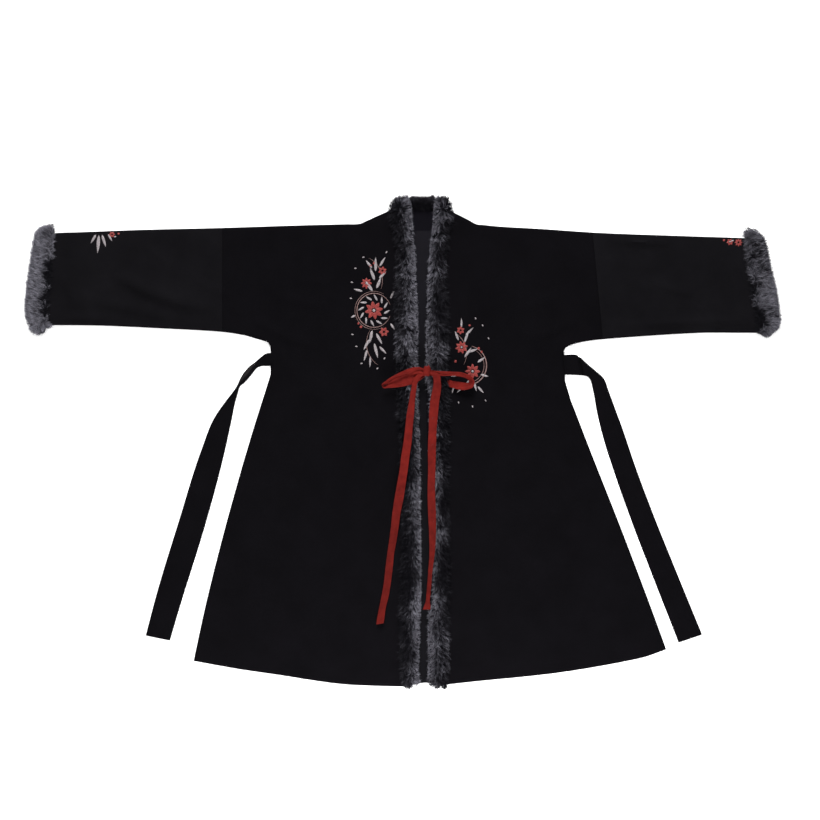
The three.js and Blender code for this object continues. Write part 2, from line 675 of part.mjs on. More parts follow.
// One ring of a flat tube lying on the surface: along its lower side and back over its upper side.
function flatRing(ring) {
  const { low, high, xAt, roof, floorRound, roofRound, count } = ring;
  const depth = high - low;
  const stations = [0, 0.9, 3.1, 9];
  for (let i = 1; i < count; i += 1) stations.push((depth * i) / count);
  stations.push(depth - 9, depth - 3.1, depth - 0.9, depth);
  const middle = SLEEVE_HEIGHT / 2;
  const round = (d, radius) => Math.sqrt(1 - (1 - between(d / radius, 0, 1)) ** 2);
  const outer = [];
  const inner = [];
  const innerEdge = BACK_WALL + 0.2;
  const add = (d, upper) => {
    const y = low + d;
    const near = Math.min(d, depth - d);
    const innerY = mix(low + innerEdge, high - innerEdge, d / depth);
    const ends = d === 0 || d === depth;
    const lift = ring.lift(xAt(y), y) * between(near / 14, 0, 1);
    const top = middle + (roof - middle) * round(near, roofRound) + lift;
    outer.push([xAt(y), y, upper ? top : middle * (1 - round(near, floorRound))]);
    const slit = ends ? 0 : (upper ? 1 : -1) * SLEEVE_SLIT * 0.5;
    inner.push([xAt(innerY), innerY, middle + slit + (upper && !ends ? lift : 0)]);
  };
  const lower = [...stations.slice(0, 3), depth / 2, ...stations.slice(-3)];
  lower.forEach((d) => add(d, false));
  [...stations].reverse().slice(1, -1).forEach((d) => add(d, true));
  return { outer, inner };
}

function sleeveTube(side) {
  const left = side === "left";
  const seam = left ? seamLeft : seamRight;
  const cuff = straightReader(left ? CUFF_SEAM_LEFT : CUFF_SEAM_RIGHT, "y", "x");
  const sign = left ? -1 : 1;
  const start = (y) => seam(y) + sign * SEAM_GAP;
  const end = (y) => cuff(y) - sign * SEAM_GAP;
  const under = left ? underLeft : underRight;
  const top = left ? topLeft : topRight;
  const outer = [];
  const inner = [];
  for (const w of shares(15, false, false)) {
    const xAt = (y) => mix(start(y), end(y), w);
    const low = under(xAt(UNDER_Y));
    const high = top(xAt(OVER_Y));
    const ring = flatRing({
      low,
      high,
      xAt,
      roof: SLEEVE_HEIGHT,
      floorRound: 3.1,
      roofRound: 4,
      count: 11,
      lift: (x, y) => foldLift(x, y),
    });
    outer.push(ring.outer);
    inner.push(ring.inner);
  }
  return tubeThrough(outer, inner);
}

function cuffRing(side) {
  const left = side === "left";
  const rows = left ? CUFF_LEFT : CUFF_RIGHT;
  const seam = straightReader(left ? CUFF_SEAM_LEFT : CUFF_SEAM_RIGHT, "y", "x");
  const end = reader(rows, "y", "end");
  const outer = [];
  const inner = [];
  const lowest = rows[rows.length - 1].y;
  const highest = rows[0].y;
  for (const { along, top, spread } of CUFF_PROFILE) {
    const xAt = (y) => mix(seam(y), end(y), along);
    const ring = flatRing({
      low: lowest + 4 - spread,
      high: highest - 4 + spread,
      xAt,
      roof: mix(SLEEVE_HEIGHT, CUFF_CREST, top),
      floorRound: 3.1,
      roofRound: 11,
      count: 8,
      lift: () => 0,
    });
    outer.push(ring.outer);
    inner.push(ring.inner);
  }
  return tubeThrough(outer, inner);
}

// Fur folded round a front edge: it lies on the front and hangs over onto the lining.
function frontFur(rows, frontEdge, sign) {
  const outerAt = reader(rows, "y", "outer");
  const innerAt = reader(rows, "y", "inner");
  const crestAt = reader(rows, "y", "crest");
  const onCloth = BACK_WALL + LINING_WALL + 3 * SEAM_GAP + FRONT_WALL;
  const onLining = BACK_WALL + LINING_WALL + 2 * SEAM_GAP + 0.2;
  const stations = [491, 488, 482, 473, 462];
  for (let y = 445; y > -470; y -= 29) stations.push(y);
  stations.push(-478, -487, -492, -495);
  const sections = stations.map((y) => {
    const outer = outerAt(y);
    const inner = innerAt(y);
    const crest = crestAt(y);
    const width = Math.abs(inner - outer);
    const from = (share) => mix(outer, inner, share);
    const height = (share) => onCloth + (crest - onCloth) * share;
    const cloth = frontEdge(y) + sign * (SEAM_GAP + 0.2);
    const step = sign * Math.min(sign * (cloth - inner), -0.12 * width);
    const stepX = inner + step;
    return [
      [from(0.06), y, onCloth],
      [outer, y, height(0.22)],
      [from(0.08), y, height(0.62)],
      [from(0.25), y, height(0.9)],
      [from(0.5), y, height(1)],
      [from(0.75), y, height(0.92)],
      [from(0.93), y, height(0.66)],
      [inner, y, height(0.2)],
      [from(0.98), y, mix(onLining, onCloth, 0.5)],
      [from(0.93), y, onLining],
      [stepX, y, onLining],
      [stepX, y, onCloth],
    ];
  });
  return loftThrough(sections);
}

// The strip of fur along the back collar, between the two front strips.
function neckFur() {
  const onCollar = BACK_WALL + LINING_WALL + 2 * SEAM_GAP;
  const sections = [];
  for (const x of [22.4, 30, 38, 46, 54, 58]) {
    const sag = 2 * (((x - 41) / 18) ** 2 - 1);
    const low = 470 + sag;
    const high = 495 + sag;
    const place = (share, height) => [x, mix(low, high, share), mix(onCollar, NECK_CREST, height)];
    sections.push([
      place(0.05, 0),
      place(0, 0.3),
      place(0.15, 0.8),
      place(0.45, 1),
      place(0.8, 0.85),
      place(1, 0.4),
      place(0.94, 0),
    ]);
  }
  return loftThrough(sections);
}

function liningPanel() {
  const rows = [];
  for (const t of shares(9, false, false)) {
    const row = [];
    for (const u of [0, 0.5, 1]) {
      const x = mix(...LINING_SIDES, u);
      const high = x > -2 && x < 84 ? NECK_SEAM_Y : Math.min(backNeck(x), NECK_SEAM_Y);
      row.push([x, mix(LINING_BOTTOM_Y, high - SEAM_GAP, t)]);
    }
    rows.push(row);
  }
  const floor = BACK_WALL + SEAM_GAP;
  return outward(wallOver(rows, () => floor, () => floor + LINING_WALL));
}

function collarBand() {
  const rows = [];
  for (const t of shares(3, false, false)) {
    const y = mix(NECK_SEAM_Y + SEAM_GAP, COLLAR_TOP_Y, t);
    rows.push([0, 0.25, 0.5, 0.75, 1].map((u) => [mix(...COLLAR_ENDS, u), y]));
  }
  return outward(wallOver(rows, () => 0, () => BACK_WALL + LINING_WALL + SEAM_GAP));
}

// Points between the rows of a table, on a smooth line through them.
function smoothRows(points, perSpan) {
  const line = new THREE.CatmullRomCurve3(points, false, "centripetal");
  const list = [];
  const spans = points.length - 1;
  for (let i = 0; i <= spans * perSpan; i += 1) list.push(line.getPoint(i / (spans * perSpan)));
  return list;
}

// A flat band given by its two edges, with its wall built to both sides of the middle.
function bandBetween(edgeA, edgeB, wall) {
  const sections = edgeA.map((a, i) => {
    const b = edgeB[i];
    const before = Math.max(i - 1, 0);
    const after = Math.min(i + 1, edgeA.length - 1);
    const ahead = edgeA[after].clone().add(edgeB[after]);
    ahead.sub(edgeA[before]).sub(edgeB[before]);
    const across = b.clone().sub(a);
    const normal = across.clone().cross(ahead).normalize().multiplyScalar(wall / 2);
    const inset = across.clone().normalize().multiplyScalar(wall * 0.3);
    const corner = (edge, shift, side) => {
      const p = edge.clone().add(shift).addScaledVector(normal, side);
      return [p.x, p.y, Math.max(p.z, 0)];
    };
    const middle = a.clone().lerp(b, 0.5);
    const none = new THREE.Vector3();
    return [
      corner(a, inset, -1),
      corner(middle, none, -1),
      corner(b, inset.clone().negate(), -1),
      corner(b, none, 0),
      corner(b, inset.clone().negate(), 1),
      corner(middle, none, 1),
      corner(a, inset, 1),
      corner(a, none, 0),
    ];
  });
  return loftBand(sections);
}

// A loft whose end caps are fans, for thin bands that may face any way.
function loftBand(sections) {
  const count = sections[0].length;
  const points = sections.flat();
  const triangles = [];
  const at = (i, j) => i * count + (j % count);
  for (let i = 0; i < sections.length - 1; i += 1) {
    for (let j = 0; j < count; j += 1) {
      triangles.push([at(i, j), at(i, j + 1), at(i + 1, j + 1)]);
      triangles.push([at(i, j), at(i + 1, j + 1), at(i + 1, j)]);
    }
  }
  const last = sections.length - 1;
  const cap = [
    [7, 0, 6],
    [0, 1, 6],
    [1, 5, 6],
    [1, 2, 5],
    [2, 4, 5],
    [2, 3, 4],
  ];
  for (const [first, second, third] of cap) {
    triangles.push([at(0, first), at(0, third), at(0, second)]);
    triangles.push([at(last, first), at(last, second), at(last, third)]);
  }
  return outward(geometryOf(points, triangles));
}

const edgePoints = (rows, edge) =>
  rows.map((row) => new THREE.Vector3(row[`${edge}x`], row[`${edge}y`], row[`${edge}z`]));

function leftStrap() {
  const a = smoothRows(edgePoints(STRAP_LEFT, "a"), 3);
  const b = smoothRows(edgePoints(STRAP_LEFT, "b"), 3);
  return bandBetween(a, b, STRAP_WALL);
}

function rightStrap() {
  const fold = STRAP_RIGHT_FOLD;
  const out = new THREE.Vector3(fold.ay - fold.by, fold.bx - fold.ax, 0).normalize().negate();
  const low = STRAP_WALL / 2;
  const radius = STRAP_WALL / 2 + 0.35;
  const bend = [0, 45, 90, 135, 180].map((degrees) => {
    const angle = THREE.MathUtils.degToRad(degrees);
    const shift = out.clone().multiplyScalar(radius * (Math.sin(angle) - 1));
    shift.z = low + radius * (1 - Math.cos(angle));
    return shift;
  });
  const end = (x, y) => bend.map((shift) => new THREE.Vector3(x, y, 0).add(shift));
  const edge = (name) => [
    ...smoothRows(edgePoints(STRAP_RIGHT_ROOT, name), 2),
    ...end(fold[`${name}x`], fold[`${name}y`]),
    ...smoothRows(edgePoints(STRAP_RIGHT_FALL, name), 3),
  ];
  return bandBetween(edge("a"), edge("b"), STRAP_WALL);
}

function redRibbon(rows, perSpan) {
  const half = (row) => {
    const turn = THREE.MathUtils.degToRad(row.turn);
    const tilt = THREE.MathUtils.degToRad(row.tilt);
    const flat = (row.width / 2) * Math.cos(tilt);
    const rise = (row.width / 2) * Math.sin(tilt);
    return new THREE.Vector3(flat * Math.cos(turn), flat * Math.sin(turn), rise);
  };
  const middle = rows.map((row) => new THREE.Vector3(row.x, row.y, row.z));
  const a = smoothRows(middle.map((p, i) => p.clone().sub(half(rows[i]))), perSpan);
  const b = smoothRows(middle.map((p, i) => p.clone().add(half(rows[i]))), perSpan);
  return bandBetween(a, b, RIBBON_WALL);
}

// The knot is a soft rounded block, flatter than a ball.
function knotShape() {
  const ball = new THREE.SphereGeometry(1, 16, 10);
  const place = ball.getAttribute("position");
  const soften = (value, size) => Math.sign(value) * Math.abs(value) ** 0.8 * size;
  for (let i = 0; i < place.count; i += 1) {
    place.setXYZ(
      i,
      soften(place.getX(i), KNOT.halfX),
      soften(place.getY(i), KNOT.halfY),
      soften(place.getZ(i), KNOT.halfZ),
    );
  }
  ball.deleteAttribute("normal");
  ball.deleteAttribute("uv");
  ball.translate(KNOT.x, KNOT.y, KNOT.z);
  const merged = mergeVertices(ball, 1e-3);
  merged.computeVertexNormals();
  return merged;
}

const jacket = new THREE.Group();
function sewOn(name, geometry, material) {
  const mesh = new THREE.Mesh(geometry, material);
  mesh.name = name;
  jacket.add(mesh);
}

sewOn("back", backPanel(), CLOTH);
sewOn("lining_back", liningPanel(), LINING);
sewOn("neck_facing", collarBand(), FACING);
sewOn("front_left", frontPanel("left"), CLOTH);
sewOn("front_right", frontPanel("right"), CLOTH);
sewOn("sleeve_left", sleeveTube("left"), SLEEVE_CLOTH);
sewOn("sleeve_right", sleeveTube("right"), SLEEVE_CLOTH);
sewOn("fur_cuff_left", cuffRing("left"), FUR);
sewOn("fur_cuff_right", cuffRing("right"), FUR);
sewOn("fur_front_left", frontFur(FUR_LEFT, frontEdgeLeft, 1), FUR);
sewOn("fur_front_right", frontFur(FUR_RIGHT, frontEdgeRight, -1), FUR);
sewOn("fur_neck", neckFur(), FUR);
sewOn("strap_left", leftStrap(), CLOTH);
sewOn("strap_right", rightStrap(), CLOTH);
sewOn("tie_knot", knotShape(), RED);
sewOn("tie_loop_left", redRibbon(LOOP_LEFT, 2), RED);
sewOn("tie_loop_right", redRibbon(LOOP_RIGHT, 2), RED);
sewOn("tie_tail_left", redRibbon(TAIL_LEFT, 2), RED);
sewOn("tie_tail_right", redRibbon(TAIL_RIGHT, 2), RED);

export default jacket;
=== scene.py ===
import math
from bisect import bisect
import bpy
import numpy as np
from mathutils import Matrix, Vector, noise
from mathutils.bvhtree import BVHTree
from mathutils.kdtree import KDTree


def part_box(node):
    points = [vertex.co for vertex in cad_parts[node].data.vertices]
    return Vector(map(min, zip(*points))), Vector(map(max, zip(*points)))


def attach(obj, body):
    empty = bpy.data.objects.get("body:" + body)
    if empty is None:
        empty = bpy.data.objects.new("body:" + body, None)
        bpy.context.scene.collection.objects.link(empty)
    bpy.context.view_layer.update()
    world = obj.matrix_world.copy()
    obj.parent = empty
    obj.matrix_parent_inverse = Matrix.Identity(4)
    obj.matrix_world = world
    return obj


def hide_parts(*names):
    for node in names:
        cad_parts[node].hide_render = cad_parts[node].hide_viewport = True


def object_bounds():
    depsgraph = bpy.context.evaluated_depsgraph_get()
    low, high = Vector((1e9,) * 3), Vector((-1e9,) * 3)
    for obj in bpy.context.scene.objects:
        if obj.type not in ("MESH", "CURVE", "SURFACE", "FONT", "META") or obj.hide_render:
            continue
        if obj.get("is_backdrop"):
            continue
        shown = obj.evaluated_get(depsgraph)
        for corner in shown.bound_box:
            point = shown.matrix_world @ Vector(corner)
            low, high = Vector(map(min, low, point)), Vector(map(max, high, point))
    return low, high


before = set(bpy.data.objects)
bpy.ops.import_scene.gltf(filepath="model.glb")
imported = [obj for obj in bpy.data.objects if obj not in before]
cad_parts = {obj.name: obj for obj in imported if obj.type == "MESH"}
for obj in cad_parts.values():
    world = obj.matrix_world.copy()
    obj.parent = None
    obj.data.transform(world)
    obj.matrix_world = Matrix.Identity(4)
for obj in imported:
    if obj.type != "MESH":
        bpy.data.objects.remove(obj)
cad_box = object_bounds()

def set_inputs(node, values):
    """Set inputs of a shader node by their names."""
    for name, value in values.items():
        node.inputs[name].default_value = value

# Camera, table and light
# The jacket is laid on a pale table and seen from straight above, under soft even light
# with one larger lamp from the upper left that brings out the folds and the pile.
PICTURE_PIXELS = 820
METRES_PER_PIXEL = 0.002
PICTURE_WIDTH = PICTURE_PIXELS * METRES_PER_PIXEL
PICTURE_CENTRE = (0.015, 0.063)
LENS_MM = 85.0
SENSOR_MM = 36.0
WHITE = (1, 1, 1, 1)
TABLE_COLOUR = (0.93, 0.93, 0.93, 1)
TABLE_SIZE = 14
TABLE_LEVEL = -0.0006
TABLE_GLOW = 0.35
ROOM_LIGHT = 0.40
camera_height = PICTURE_WIDTH * LENS_MM / SENSOR_MM

bpy.context.scene.view_settings.view_transform = "Standard"
bpy.ops.object.select_all(action="DESELECT")
bpy.ops.object.camera_add(location=(*PICTURE_CENTRE, camera_height), rotation=(0, 0, 0))
camera = bpy.context.object
camera.name = "camera_above"
camera.data.lens = LENS_MM
camera.data.sensor_width = SENSOR_MM
camera.data.clip_end = 50
bpy.context.scene.camera = camera

bpy.ops.mesh.primitive_plane_add(size=TABLE_SIZE, location=(0, 0, TABLE_LEVEL))
table = bpy.context.object
table.name = "table_top"
table_paint = bpy.data.materials.new("table_paint")
table_paint.use_nodes = True
set_inputs(table_paint.node_tree.nodes["Principled BSDF"], {
    "Base Color": TABLE_COLOUR, "Roughness": 0.8, "Specular IOR Level": 0.1,
    "Emission Color": WHITE, "Emission Strength": TABLE_GLOW,
})
table.data.materials.append(table_paint)
table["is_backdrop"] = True

room = bpy.data.worlds.new("room_light")
room.use_nodes = True
set_inputs(room.node_tree.nodes["Background"], {"Color": WHITE, "Strength": ROOM_LIGHT})
bpy.context.scene.world = room

LAMPS = [
    {"name": "lamp_key", "place": (-0.5, 4.7, 2.5), "size": 2.0, "watts": 660},
    {"name": "lamp_fill", "place": (0.1, -1.5, 0.6), "size": 1.2, "watts": 63},
]
for lamp in LAMPS:
    bpy.ops.object.light_add(type="AREA", location=lamp["place"])
    light = bpy.context.object
    light.name = lamp["name"]
    light.data.energy = lamp["watts"]
    light.data.size = lamp["size"]
    light.rotation_euler = Vector(lamp["place"]).to_track_quat("Z", "Y").to_euler()

# Back
# One piece of short-napped black wool, cut in one with the back halves of the upper
# sleeves. It lies face down on the table, so only its edges and its underside are seen.
CLOUD_SCALE = 14
TWILL_SCALE = 420
WOOL_DARK = (0.0016, 0.0014, 0.0019, 1)
WOOL_LIGHT = (0.0025, 0.0022, 0.0030, 1)

def new_material(name, roughness, specular):
    """A new material with its node tree and its shader."""
    material = bpy.data.materials.new(name)
    material.use_nodes = True
    shader = material.node_tree.nodes["Principled BSDF"]
    set_inputs(shader, {"Roughness": roughness, "Specular IOR Level": specular})
    return material, material.node_tree, shader

def object_place(tree):
    """The place of a point in its object's own coordinates."""
    return tree.nodes.new("ShaderNodeTexCoord").outputs["Object"]

def noise_node(tree, coordinates, scale, detail, roughness=0.6):
    """One noise texture on the given coordinates."""
    texture = tree.nodes.new("ShaderNodeTexNoise")
    set_inputs(texture, {"Scale": scale, "Detail": detail, "Roughness": roughness})
    tree.links.new(coordinates, texture.inputs["Vector"])
    return texture

def ramp_node(tree, value, stops):
    """A colour ramp read by value, with stops of (place, colour)."""
    ramp = tree.nodes.new("ShaderNodeValToRGB")
    first, last = ramp.color_ramp.elements
    first.position, first.color = stops[0]
    last.position, last.color = stops[-1]
    for place, colour in stops[1:-1]:
        ramp.color_ramp.elements.new(place).color = colour
    tree.links.new(value, ramp.inputs["Fac"])
    return ramp

def bump_node(tree, height, strength, distance, under=None):
    """A bump of the given height texture, on top of another bump if there is one."""
    bump = tree.nodes.new("ShaderNodeBump")
    set_inputs(bump, {"Strength": strength, "Distance": distance})
    tree.links.new(height, bump.inputs["Height"])
    if under:
        tree.links.new(under.outputs["Normal"], bump.inputs["Normal"])
    return bump

def paint(tree, shader, tone, bump):
    """Give a shader its colour and its bump."""
    tree.links.new(tone.outputs["Color"], shader.inputs["Base Color"])
    tree.links.new(bump.outputs["Normal"], shader.inputs["Normal"])

def wool(name, dark, light, nap_scale, nap_depth, sheen):
    """Napped wool: cloudy tone, fine fibre nap over a faint twill line."""
    material, tree, shader = new_material(name, 0.92, 0.02)
    set_inputs(shader, {"Sheen Weight": sheen, "Sheen Roughness": 0.6})
    place = object_place(tree)
    clouds = noise_node(tree, place, CLOUD_SCALE, 6)
    fibres = noise_node(tree, place, nap_scale, 8, 0.75)
    both = tree.nodes.new("ShaderNodeMath")
    both.operation = "MULTIPLY"
    tree.links.new(clouds.outputs["Fac"], both.inputs[0])
    tree.links.new(fibres.outputs["Fac"], both.inputs[1])
    tone = ramp_node(tree, both.outputs[0], [(0.14, dark), (0.42, light)])
    twill = tree.nodes.new("ShaderNodeTexWave")
    twill.bands_direction = "DIAGONAL"
    set_inputs(twill, {"Scale": TWILL_SCALE, "Distortion": 1.5, "Detail": 2})
    tree.links.new(place, twill.inputs["Vector"])
    lines = bump_node(tree, twill.outputs["Fac"], 0.25, 0.0003)
    nap = bump_node(tree, fibres.outputs["Fac"], 0.6, nap_depth, lines)
    paint(tree, shader, tone, nap)
    return material

def pick(piece):
    """Make one object the only one selected, and the active one."""
    bpy.ops.object.select_all(action="DESELECT")
    piece.select_set(True)
    bpy.context.view_layer.objects.active = piece

def open_mesh(piece):
    """Go into edit mode on one piece, with its whole mesh selected."""
    pick(piece)
    bpy.ops.object.mode_set(mode="EDIT")
    bpy.ops.mesh.select_all(action="SELECT")

def close_mesh():
    """Leave edit mode."""
    bpy.ops.object.mode_set(mode="OBJECT")

def new_piece(name, points, faces):
    """A new object made of the given points and faces."""
    mesh = bpy.data.meshes.new(name)
    mesh.from_pydata(points, [], faces)
    piece = bpy.data.objects.new(name, mesh)
    bpy.context.scene.collection.objects.link(piece)
    return piece

def outward_piece(name, points, faces):
    """A new object whose faces all look outwards."""
    piece = new_piece(name, points, faces)
    open_mesh(piece)
    bpy.ops.mesh.normals_make_consistent(inside=False)
    close_mesh()
    return piece

def copy_of_solid(node, name):
    """A copy of a solid of the frame with its loose triangles merged into quads."""
    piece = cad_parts[node].copy()
    piece.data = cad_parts[node].data.copy()
    piece.parent = None
    for key in list(piece.keys()):
        del piece[key]
    piece.hide_render = False
    piece.name = name
    piece.data.name = name
    bpy.context.scene.collection.objects.link(piece)
    open_mesh(piece)
    bpy.ops.mesh.remove_doubles(threshold=0.00002)
    bpy.ops.mesh.tris_convert_to_quads(face_threshold=math.radians(60), shape_threshold=math.radians(60))
    close_mesh()
    piece.data.materials.clear()
    return piece

def subdivide(piece, levels):
    """Smooth a piece with a subdivision surface that is applied at once."""
    pick(piece)
    modifier = piece.modifiers.new("smooth", "SUBSURF")
    modifier.levels = levels
    modifier.render_levels = levels
    bpy.ops.object.modifier_apply(modifier=modifier.name)
    bpy.ops.object.shade_smooth()

def dress(piece, material, slot, *nodes):
    """Give a piece its material and the solids that it stands for. The slot is not used."""
    piece.data.materials.clear()
    piece.data.materials.append(material)
    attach(piece, "root")
    if nodes:
        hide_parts(*nodes)
    return piece

body_wool = wool("body_wool", WOOL_DARK, WOOL_LIGHT, 900, 0.0006, 0.002)
back = copy_of_solid("back", "back_panel")
pick(back)
bpy.ops.object.shade_smooth_by_angle(angle=math.radians(35))
dress(back, body_wool, "wool_cloth", "back")
# The laid back is drawn in a little at the under-arm corners and the right waist.
UNDER_ARMS = [
    {"place": (0.330, 0.184), "reach": 0.018, "shift": (-0.0045, 0.0070)},
    {"place": (-0.274, 0.196), "reach": 0.020, "shift": (0.0015, 0.0050)},
    {"place": (0.330, 0.108), "reach": 0.016, "shift": (-0.0045, 0.0)},
]
for vertex in back.data.vertices:
    for corner in UNDER_ARMS:
        away = math.hypot(vertex.co.x - corner["place"][0], vertex.co.y - corner["place"][1])
        ease = math.exp(-((away / corner["reach"]) ** 2))
        vertex.co.x += corner["shift"][0] * ease
        vertex.co.y += corner["shift"][1] * ease

# Fronts
# Two fronts of the same wool, each cut in one with the front half of its upper sleeve.
# They lie on the back and are pressed down into the side, under-sleeve and shoulder seams.
# The tables are the laid outline in metres: height of an edge at x, or x of an edge at y.
TOP_LEFT = [
    (-0.705, 0.415), (-0.685, 0.4173), (-0.644, 0.4185), (-0.525, 0.423), (-0.361, 0.427),
    (-0.205, 0.432), (-0.114, 0.4343), (-0.086, 0.4350), (-0.074, 0.4400), (-0.050, 0.4510),
    (-0.029, 0.4605), (-0.010, 0.473), (0.008, 0.480),
]
TOP_RIGHT = [
    (0.072, 0.480), (0.088, 0.473), (0.101, 0.4590), (0.112, 0.4530), (0.126, 0.4460),
    (0.138, 0.4395), (0.147, 0.4345), (0.160, 0.4330), (0.196, 0.4295), (0.275, 0.425),
    (0.395, 0.417), (0.555, 0.411), (0.675, 0.407), (0.712, 0.405),
]
UNDER_LEFT = [
    (-0.714, 0.2325), (-0.605, 0.2315), (-0.485, 0.2262), (-0.361, 0.2190), (-0.310, 0.2115),
    (-0.290, 0.2068), (-0.276, 0.2015), (-0.268, 0.1970), (-0.2635, 0.1900),
]
UNDER_RIGHT = [
    (0.3185, 0.1800), (0.3215, 0.1838), (0.3260, 0.1874), (0.3320, 0.1908), (0.3430, 0.1950),
    (0.3670, 0.2003), (0.4010, 0.2043), (0.4750, 0.2100), (0.5950, 0.2170), (0.6750, 0.2172),
    (0.7120, 0.2170),
]
SIDE_LEFT = [
    (0.190, -0.2635), (0.178, -0.2618), (0.150, -0.2600), (0.131, -0.2642), (0.107, -0.2712),
    (0.073, -0.2830), (-0.017, -0.3105), (-0.167, -0.3530), (-0.317, -0.3910), (-0.4385, -0.4175),
]
SIDE_RIGHT = [
    (0.181, 0.3180), (0.174, 0.3185), (0.164, 0.3212), (0.150, 0.3230), (0.131, 0.3248),
    (0.115, 0.3250), (0.101, 0.3282), (0.073, 0.3400), (-0.017, 0.3748), (-0.167, 0.4340),
    (-0.317, 0.4910), (-0.4155, 0.5270),
]
HEM = [
    (-0.4175, -0.4385), (-0.325, -0.4550), (-0.245, -0.4668), (-0.144, -0.4822), (-0.085, -0.4872),
    (0.040, -0.489), (0.155, -0.4785), (0.315, -0.4615), (0.475, -0.4330), (0.527, -0.4155),
]
FRONT_EDGE_LEFT = [
    (0.480, 0.0050), (0.450, 0.0055), (0.415, 0.0080), (0.383, 0.0110), (0.297, 0.0150),
    (0.187, 0.0180), (0.077, 0.0200), (-0.141, 0.0220), (-0.317, 0.0230), (-0.490, 0.0180),
]
FRONT_EDGE_RIGHT = [
    (0.480, 0.0765), (0.450, 0.0750), (0.415, 0.0720), (0.383, 0.0690), (0.340, 0.0650),
    (0.187, 0.0610), (0.077, 0.0600), (-0.141, 0.0650), (-0.490, 0.0660),
]
# Straight seams, as (x at the lower point, its y, x at the upper point, its y).
SEAM_LEFT = (-0.361, 0.2205, -0.361, 0.427)
SEAM_RIGHT = (0.401, 0.2045, 0.3805, 0.418)
CUFF_SEAM_LEFT = (-0.714, 0.211, -0.695, 0.431)
CUFF_SEAM_RIGHT = (0.712, 0.208, 0.682, 0.424)

# The spacing of the cloth's points, closer beside a pressed edge, then its levels and seams.
CLOTH_STEP = 0.0062
PRESSED = [0, 0.0005, 0.0013, 0.0026, 0.0044, 0.0068, 0.0100]
SOLVE_ROUNDS = 5
FRONT_MIDDLE_X = 0.04
FRONT_LOWER_LENGTH = 0.64
FRONT_CHEST_LENGTH = 0.24
FRONT_LEVEL = 0.0059
LINING_STEP = 0.0011
LINING_EDGES = (-0.018, 0.104)
LINING_EASE = 0.026
SHELL = 0.0014
SEAM_LEVEL = 0.0026
SEAM_ROUND = 0.0050
SEAM_CALM = 0.025
GROOVE_DEPTH = 0.0013
GROOVE_WIDTH = 0.0020
CREASE_STEEP = 1.25
CREASE_GENTLE = 0.85
CREASE_ARCH = 0.8
CREASE_CREST = 1.7
LOOSE_BROAD = 0.0007
LOOSE_CLOSE = 0.00032

# Creases that show when the light rakes them: x and y of one end, x and y of the other,
# then how wide, how high and how bowed they are.
CREASES = [
    (-0.582, 0.336, -0.368, 0.262, 0.0150, 0.0108, 0.012),
    (-0.640, 0.284, -0.425, 0.234, 0.0150, 0.0050, -0.003),
    (-0.633, 0.305, -0.629, 0.240, 0.0080, 0.0028, 0.002),
    (-0.520, 0.400, -0.470, 0.352, 0.0070, 0.0018, 0.002),
    (-0.420, 0.318, -0.330, 0.282, 0.0080, 0.0020, -0.003),
    (-0.700, 0.246, -0.560, 0.243, 0.0080, 0.0044, 0.002),
    (-0.680, 0.330, -0.640, 0.262, 0.0070, 0.0018, 0.003),
    (-0.300, 0.244, -0.165, 0.186, 0.0110, 0.0042, 0.005),
    (-0.265, 0.290, -0.150, 0.262, 0.0120, 0.0034, -0.004),
    (-0.250, 0.178, -0.190, 0.110, 0.0100, 0.0034, 0.004),
    (-0.235, 0.225, -0.205, 0.160, 0.0060, 0.0020, 0.002),
    (-0.225, 0.330, -0.120, 0.315, 0.0090, 0.0018, 0.005),
    (-0.062, 0.120, -0.064, -0.150, 0.0070, 0.0016, 0.002),
    (0.128, 0.410, 0.132, 0.090, 0.0110, 0.0024, 0.003),
    (0.345, 0.240, 0.245, 0.205, 0.0110, 0.0036, -0.005),
    (0.310, 0.170, 0.250, 0.090, 0.0100, 0.0030, 0.004),
    (0.335, 0.285, 0.240, 0.272, 0.0090, 0.0020, 0.004),
    (0.412, 0.403, 0.535, 0.397, 0.0085, 0.0064, 0.002),
    (0.430, 0.358, 0.530, 0.352, 0.0120, 0.0018, 0.005),
    (0.596, 0.276, 0.640, 0.228, 0.0085, 0.0054, 0.004),
    (0.636, 0.376, 0.680, 0.290, 0.0110, 0.0042, -0.004),
    (0.490, 0.326, 0.585, 0.292, 0.0095, 0.0052, 0.005),
    (0.400, 0.230, 0.705, 0.238, 0.0085, 0.0058, -0.002),
    (-0.300, 0.020, -0.210, -0.030, 0.0090, 0.0016, 0.005),
    (0.345, -0.010, 0.270, -0.080, 0.0090, 0.0017, -0.005),
    (-0.330, -0.250, -0.250, -0.430, 0.0150, 0.0022, 0.008),
    (0.400, -0.240, 0.330, -0.410, 0.0150, 0.0024, -0.008),
    (-0.160, -0.330, -0.140, -0.470, 0.0100, 0.0015, 0.003),
    (0.200, -0.300, 0.215, -0.450, 0.0110, 0.0017, -0.003),
]

def reader(rows):
    """A smooth curve through (key, value) rows."""
    rows = sorted(rows)
    last = len(rows) - 1
    keys = [key for key, _ in rows]
    values = [value for _, value in rows]
    slopes = []
    for i in range(last + 1):
        before, after = max(i - 1, 0), min(i + 1, last)
        slopes.append((values[after] - values[before]) / (keys[after] - keys[before]))

    def read(key):
        key = min(max(key, keys[0]), keys[last])
        i = max(min(bisect(keys, key), last) - 1, 0)
        gap = keys[i + 1] - keys[i]
        t = (key - keys[i]) / gap
        ease = t * t * (3 - 2 * t)
        rise = (t - 2 * t * t + t**3) * gap * slopes[i] + (t**3 - t * t) * gap * slopes[i + 1]
        return values[i] * (1 - ease) + values[i + 1] * ease + rise

    return read

